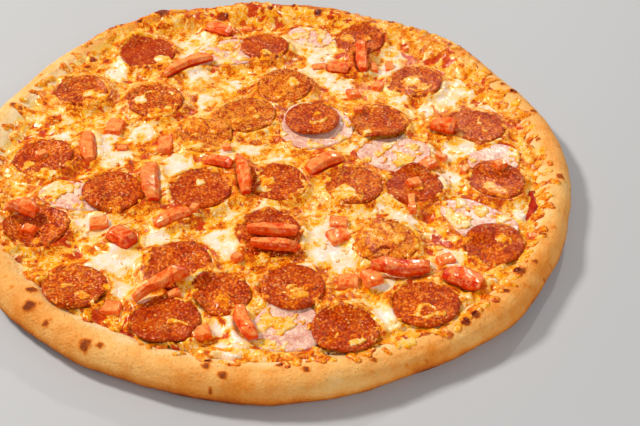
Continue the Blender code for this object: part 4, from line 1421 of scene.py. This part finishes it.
def scatter_tree():
    """Scatters small rounded drops over a mesh's faces, where its field called drops is above 0."""
    group = bpy.data.node_groups.new("scatter_drops", "GeometryNodeTree")
    for label, kind in SCATTER_INPUTS.items():
        group.interface.new_socket(label, in_out="INPUT", socket_type="NodeSocket" + kind)
    group.interface.new_socket("Geometry", in_out="OUTPUT", socket_type="NodeSocketGeometry")
    graph = Graph(group)
    outputs = group.nodes.new("NodeGroupInput").outputs
    given = {label: Value(graph, outputs[label]) for label in SCATTER_INPUTS}
    seed = given["Seed"]
    allowed = graph.node("GeometryNodeInputNamedAttribute", {"data_type": "FLOAT"}, {"Name": "drops"})
    points = graph.node("GeometryNodeDistributePointsOnFaces", None, {
        "Mesh": given["Geometry"], "Density": allowed * given["Density"], "Seed": seed,
    })
    drop = graph.node("GeometryNodeMeshUVSphere", None, {
        "Segments": DROP_SIDES, "Rings": DROP_RINGS, "Radius": 1.0,
    })
    limits = {2: given["Smallest"], 3: given["Largest"], "Seed": seed}
    size = graph.node("FunctionNodeRandomValue", {"data_type": "FLOAT"}, limits, output=1)
    sides = {"X": size * given["Length"], "Y": size, "Z": size * given["Flatness"]}
    placed = graph.node("GeometryNodeInstanceOnPoints", None, {
        "Points": points, "Instance": drop, "Rotation": points.other("Rotation"),
        "Scale": graph.node("ShaderNodeCombineXYZ", None, sides),
    })
    spin = graph.node("FunctionNodeRandomValue", {"data_type": "FLOAT_VECTOR"}, {1: (0, 0, math.tau)})
    turned = graph.node("GeometryNodeRotateInstances", None, {"Instances": placed, "Rotation": spin})
    whole = graph.node("GeometryNodeRealizeInstances", None, {"Geometry": turned})
    dressing = {"Geometry": whole, "Material": given["Finish"]}
    dressed = graph.node("GeometryNodeSetMaterial", None, dressing)
    graph.feed(group.nodes.new("NodeGroupOutput").inputs[0], dressed)
    return group


SCATTER = scatter_tree()


# %% Use the tree on a surface
def scatter(name, bed, finish, slot, **wanted):
    """A piece made of the drops scattered over the mesh bed, with the tree's inputs by name."""
    wanted["Finish"] = finish
    inputs = {
        item.identifier: wanted[item.name] for item in SCATTER.interface.items_tree
        if item.in_out == "INPUT" and item.name in wanted
    }
    return finish_piece(name, modified(bed, "NODES", {"node_group": SCATTER}, inputs), finish)


# %% Make a bed from the pieces it lies on
def bed_of(names, allow):
    """One open mesh of the faces of these pieces that look up, where allow(x, y) is above 0."""
    points, faces, start = [], [], 0
    for name in names:
        mesh = bpy.data.objects[name].data
        points.extend(v.co[:] for v in mesh.vertices)
        faces.extend(tuple(start + n for n in p.vertices) for p in mesh.polygons if p.normal.z > 0.5)
        start += len(mesh.vertices)
    bed = bpy.data.meshes.new("bed")
    bed.from_pydata(points, [], faces)
    place = np.array(points)
    carry(bed, {"drops": allow(place[:, 0], place[:, 1])})
    return bed


# %% Oil on the sausage
oil = Finish("oil_finish")
oil_tint = oil.cloud(3 * MM)
OIL_FINISH = oil.done(
    Base_Color=oil.ramp(oil_tint, [(0.3, shade(210, 90, 14)), (0.7, shade(250, 176, 78))]),
    Roughness=0.08, Coat_Weight=0.5,
)


def greasy(x, y):
    """How thickly the beads lie."""
    return step_up(noise(x, y, 10 * MM, 101, 3), -0.3, 0.5)


scatter(
    "oil_beads", bed_of([name + "_slice" for name in PEPPERONI], greasy), OIL_FINISH, "pepperoni",
    Density=52000, Smallest=0.3 * MM, Largest=0.85 * MM, Flatness=0.6, Length=1.2, Seed=5,
)


# %% Curds on the cheese
def curdy(x, y):
    """How thickly the curds lie, which is not at all under the toppings."""
    i = np.clip(np.searchsorted(AXIS, x), 0, len(AXIS) - 1)
    j = np.clip(np.searchsorted(AXIS, y), 0, len(AXIS) - 1)
    bare = ~covered[i, j] & (RADIUS[i, j] < TOPPED_RADIUS)
    return bare * step_up(noise(x, y, 14 * MM, 103, 3), -0.4, 0.5)


curd = Finish("curd_finish")
curd_tint = curd.cloud(5 * MM, 3.0)
curd_speck = curd.cloud(1.2 * MM, 3.0)
CURD_FINISH = curd.done(
    Base_Color=curd.ramp(0.6 * curd_tint + 0.4 * curd_speck, [
        (0.30, shade(252, 226, 180)), (0.48, shade(250, 190, 96)), (0.62, shade(232, 128, 26)),
        (0.75, shade(180, 70, 8)),
    ]),
    Roughness=0.2 + 0.2 * curd_speck, Normal=curd.bump(curd_speck, 0.6 * MM), Coat_Weight=0.1,
    Subsurface_Weight=0.1, Subsurface_Scale=0.002, Subsurface_Radius=(1.0, 0.55, 0.25),
)
scatter(
    "cheese_curds", bed_of(["cheese_blanket"], curdy), CURD_FINISH, "cheese",
    Density=24000, Smallest=0.45 * MM, Largest=1.2 * MM, Flatness=0.45, Length=1.8, Seed=7,
)

# %% [markdown]
# ## Floor and light
#
# A pale, plain floor lets the food's colours speak. The main lamp, behind and to the left, gives the
# wet toppings their small highlights and the near rim its shadow. A broad, weaker one fills the front,
# and a very small one at the back adds glints.

# %% Floor
FLOOR_HALF = 3.0
floor_mesh = bpy.data.meshes.new("floor")
corners = [(x * FLOOR_HALF, y * FLOOR_HALF, 0) for x, y in ((-1, -1), (1, -1), (1, 1), (-1, 1))]
floor_mesh.from_pydata(corners, [], [(0, 1, 2, 3)])
floor_finish = Finish("floor_finish")
floor_mesh.materials.append(floor_finish.done(Base_Color=shade(186, 186, 186), Roughness=0.6))
floor = bpy.data.objects.new("floor", floor_mesh)
bpy.context.scene.collection.objects.link(floor)


# %% Lamps
def lamp(name, place, size, power, colour):
    """A square lamp that looks at the middle of the pizza."""
    data = bpy.data.lights.new(name, "AREA")
    data.size = size
    data.energy = power
    data.color = colour
    made = bpy.data.objects.new(name, data)
    made.location = place
    made.rotation_euler = (-Vector(place)).to_track_quat("-Z", "Y").to_euler()
    bpy.context.scene.collection.objects.link(made)


lamp("key", (-1.55, 0.78, 1.64), 0.35, 51, (1.0, 0.97, 0.93))
lamp("fill", (0.6, -1.2, 1.1), 1.2, 11, (1.0, 0.98, 0.96))
lamp("glint", (0.45, 1.25, 0.95), 0.09, 5.5, (1.0, 0.98, 0.95))
world = bpy.data.worlds.new("studio")
bpy.context.scene.world = world
world.use_nodes = True
sky_light = world.node_tree.nodes["Background"].inputs
sky_light["Color"].default_value = (0.96, 0.97, 1.0, 1.0)
sky_light["Strength"].default_value = 0.26
print("lamps:", len(bpy.data.lights))
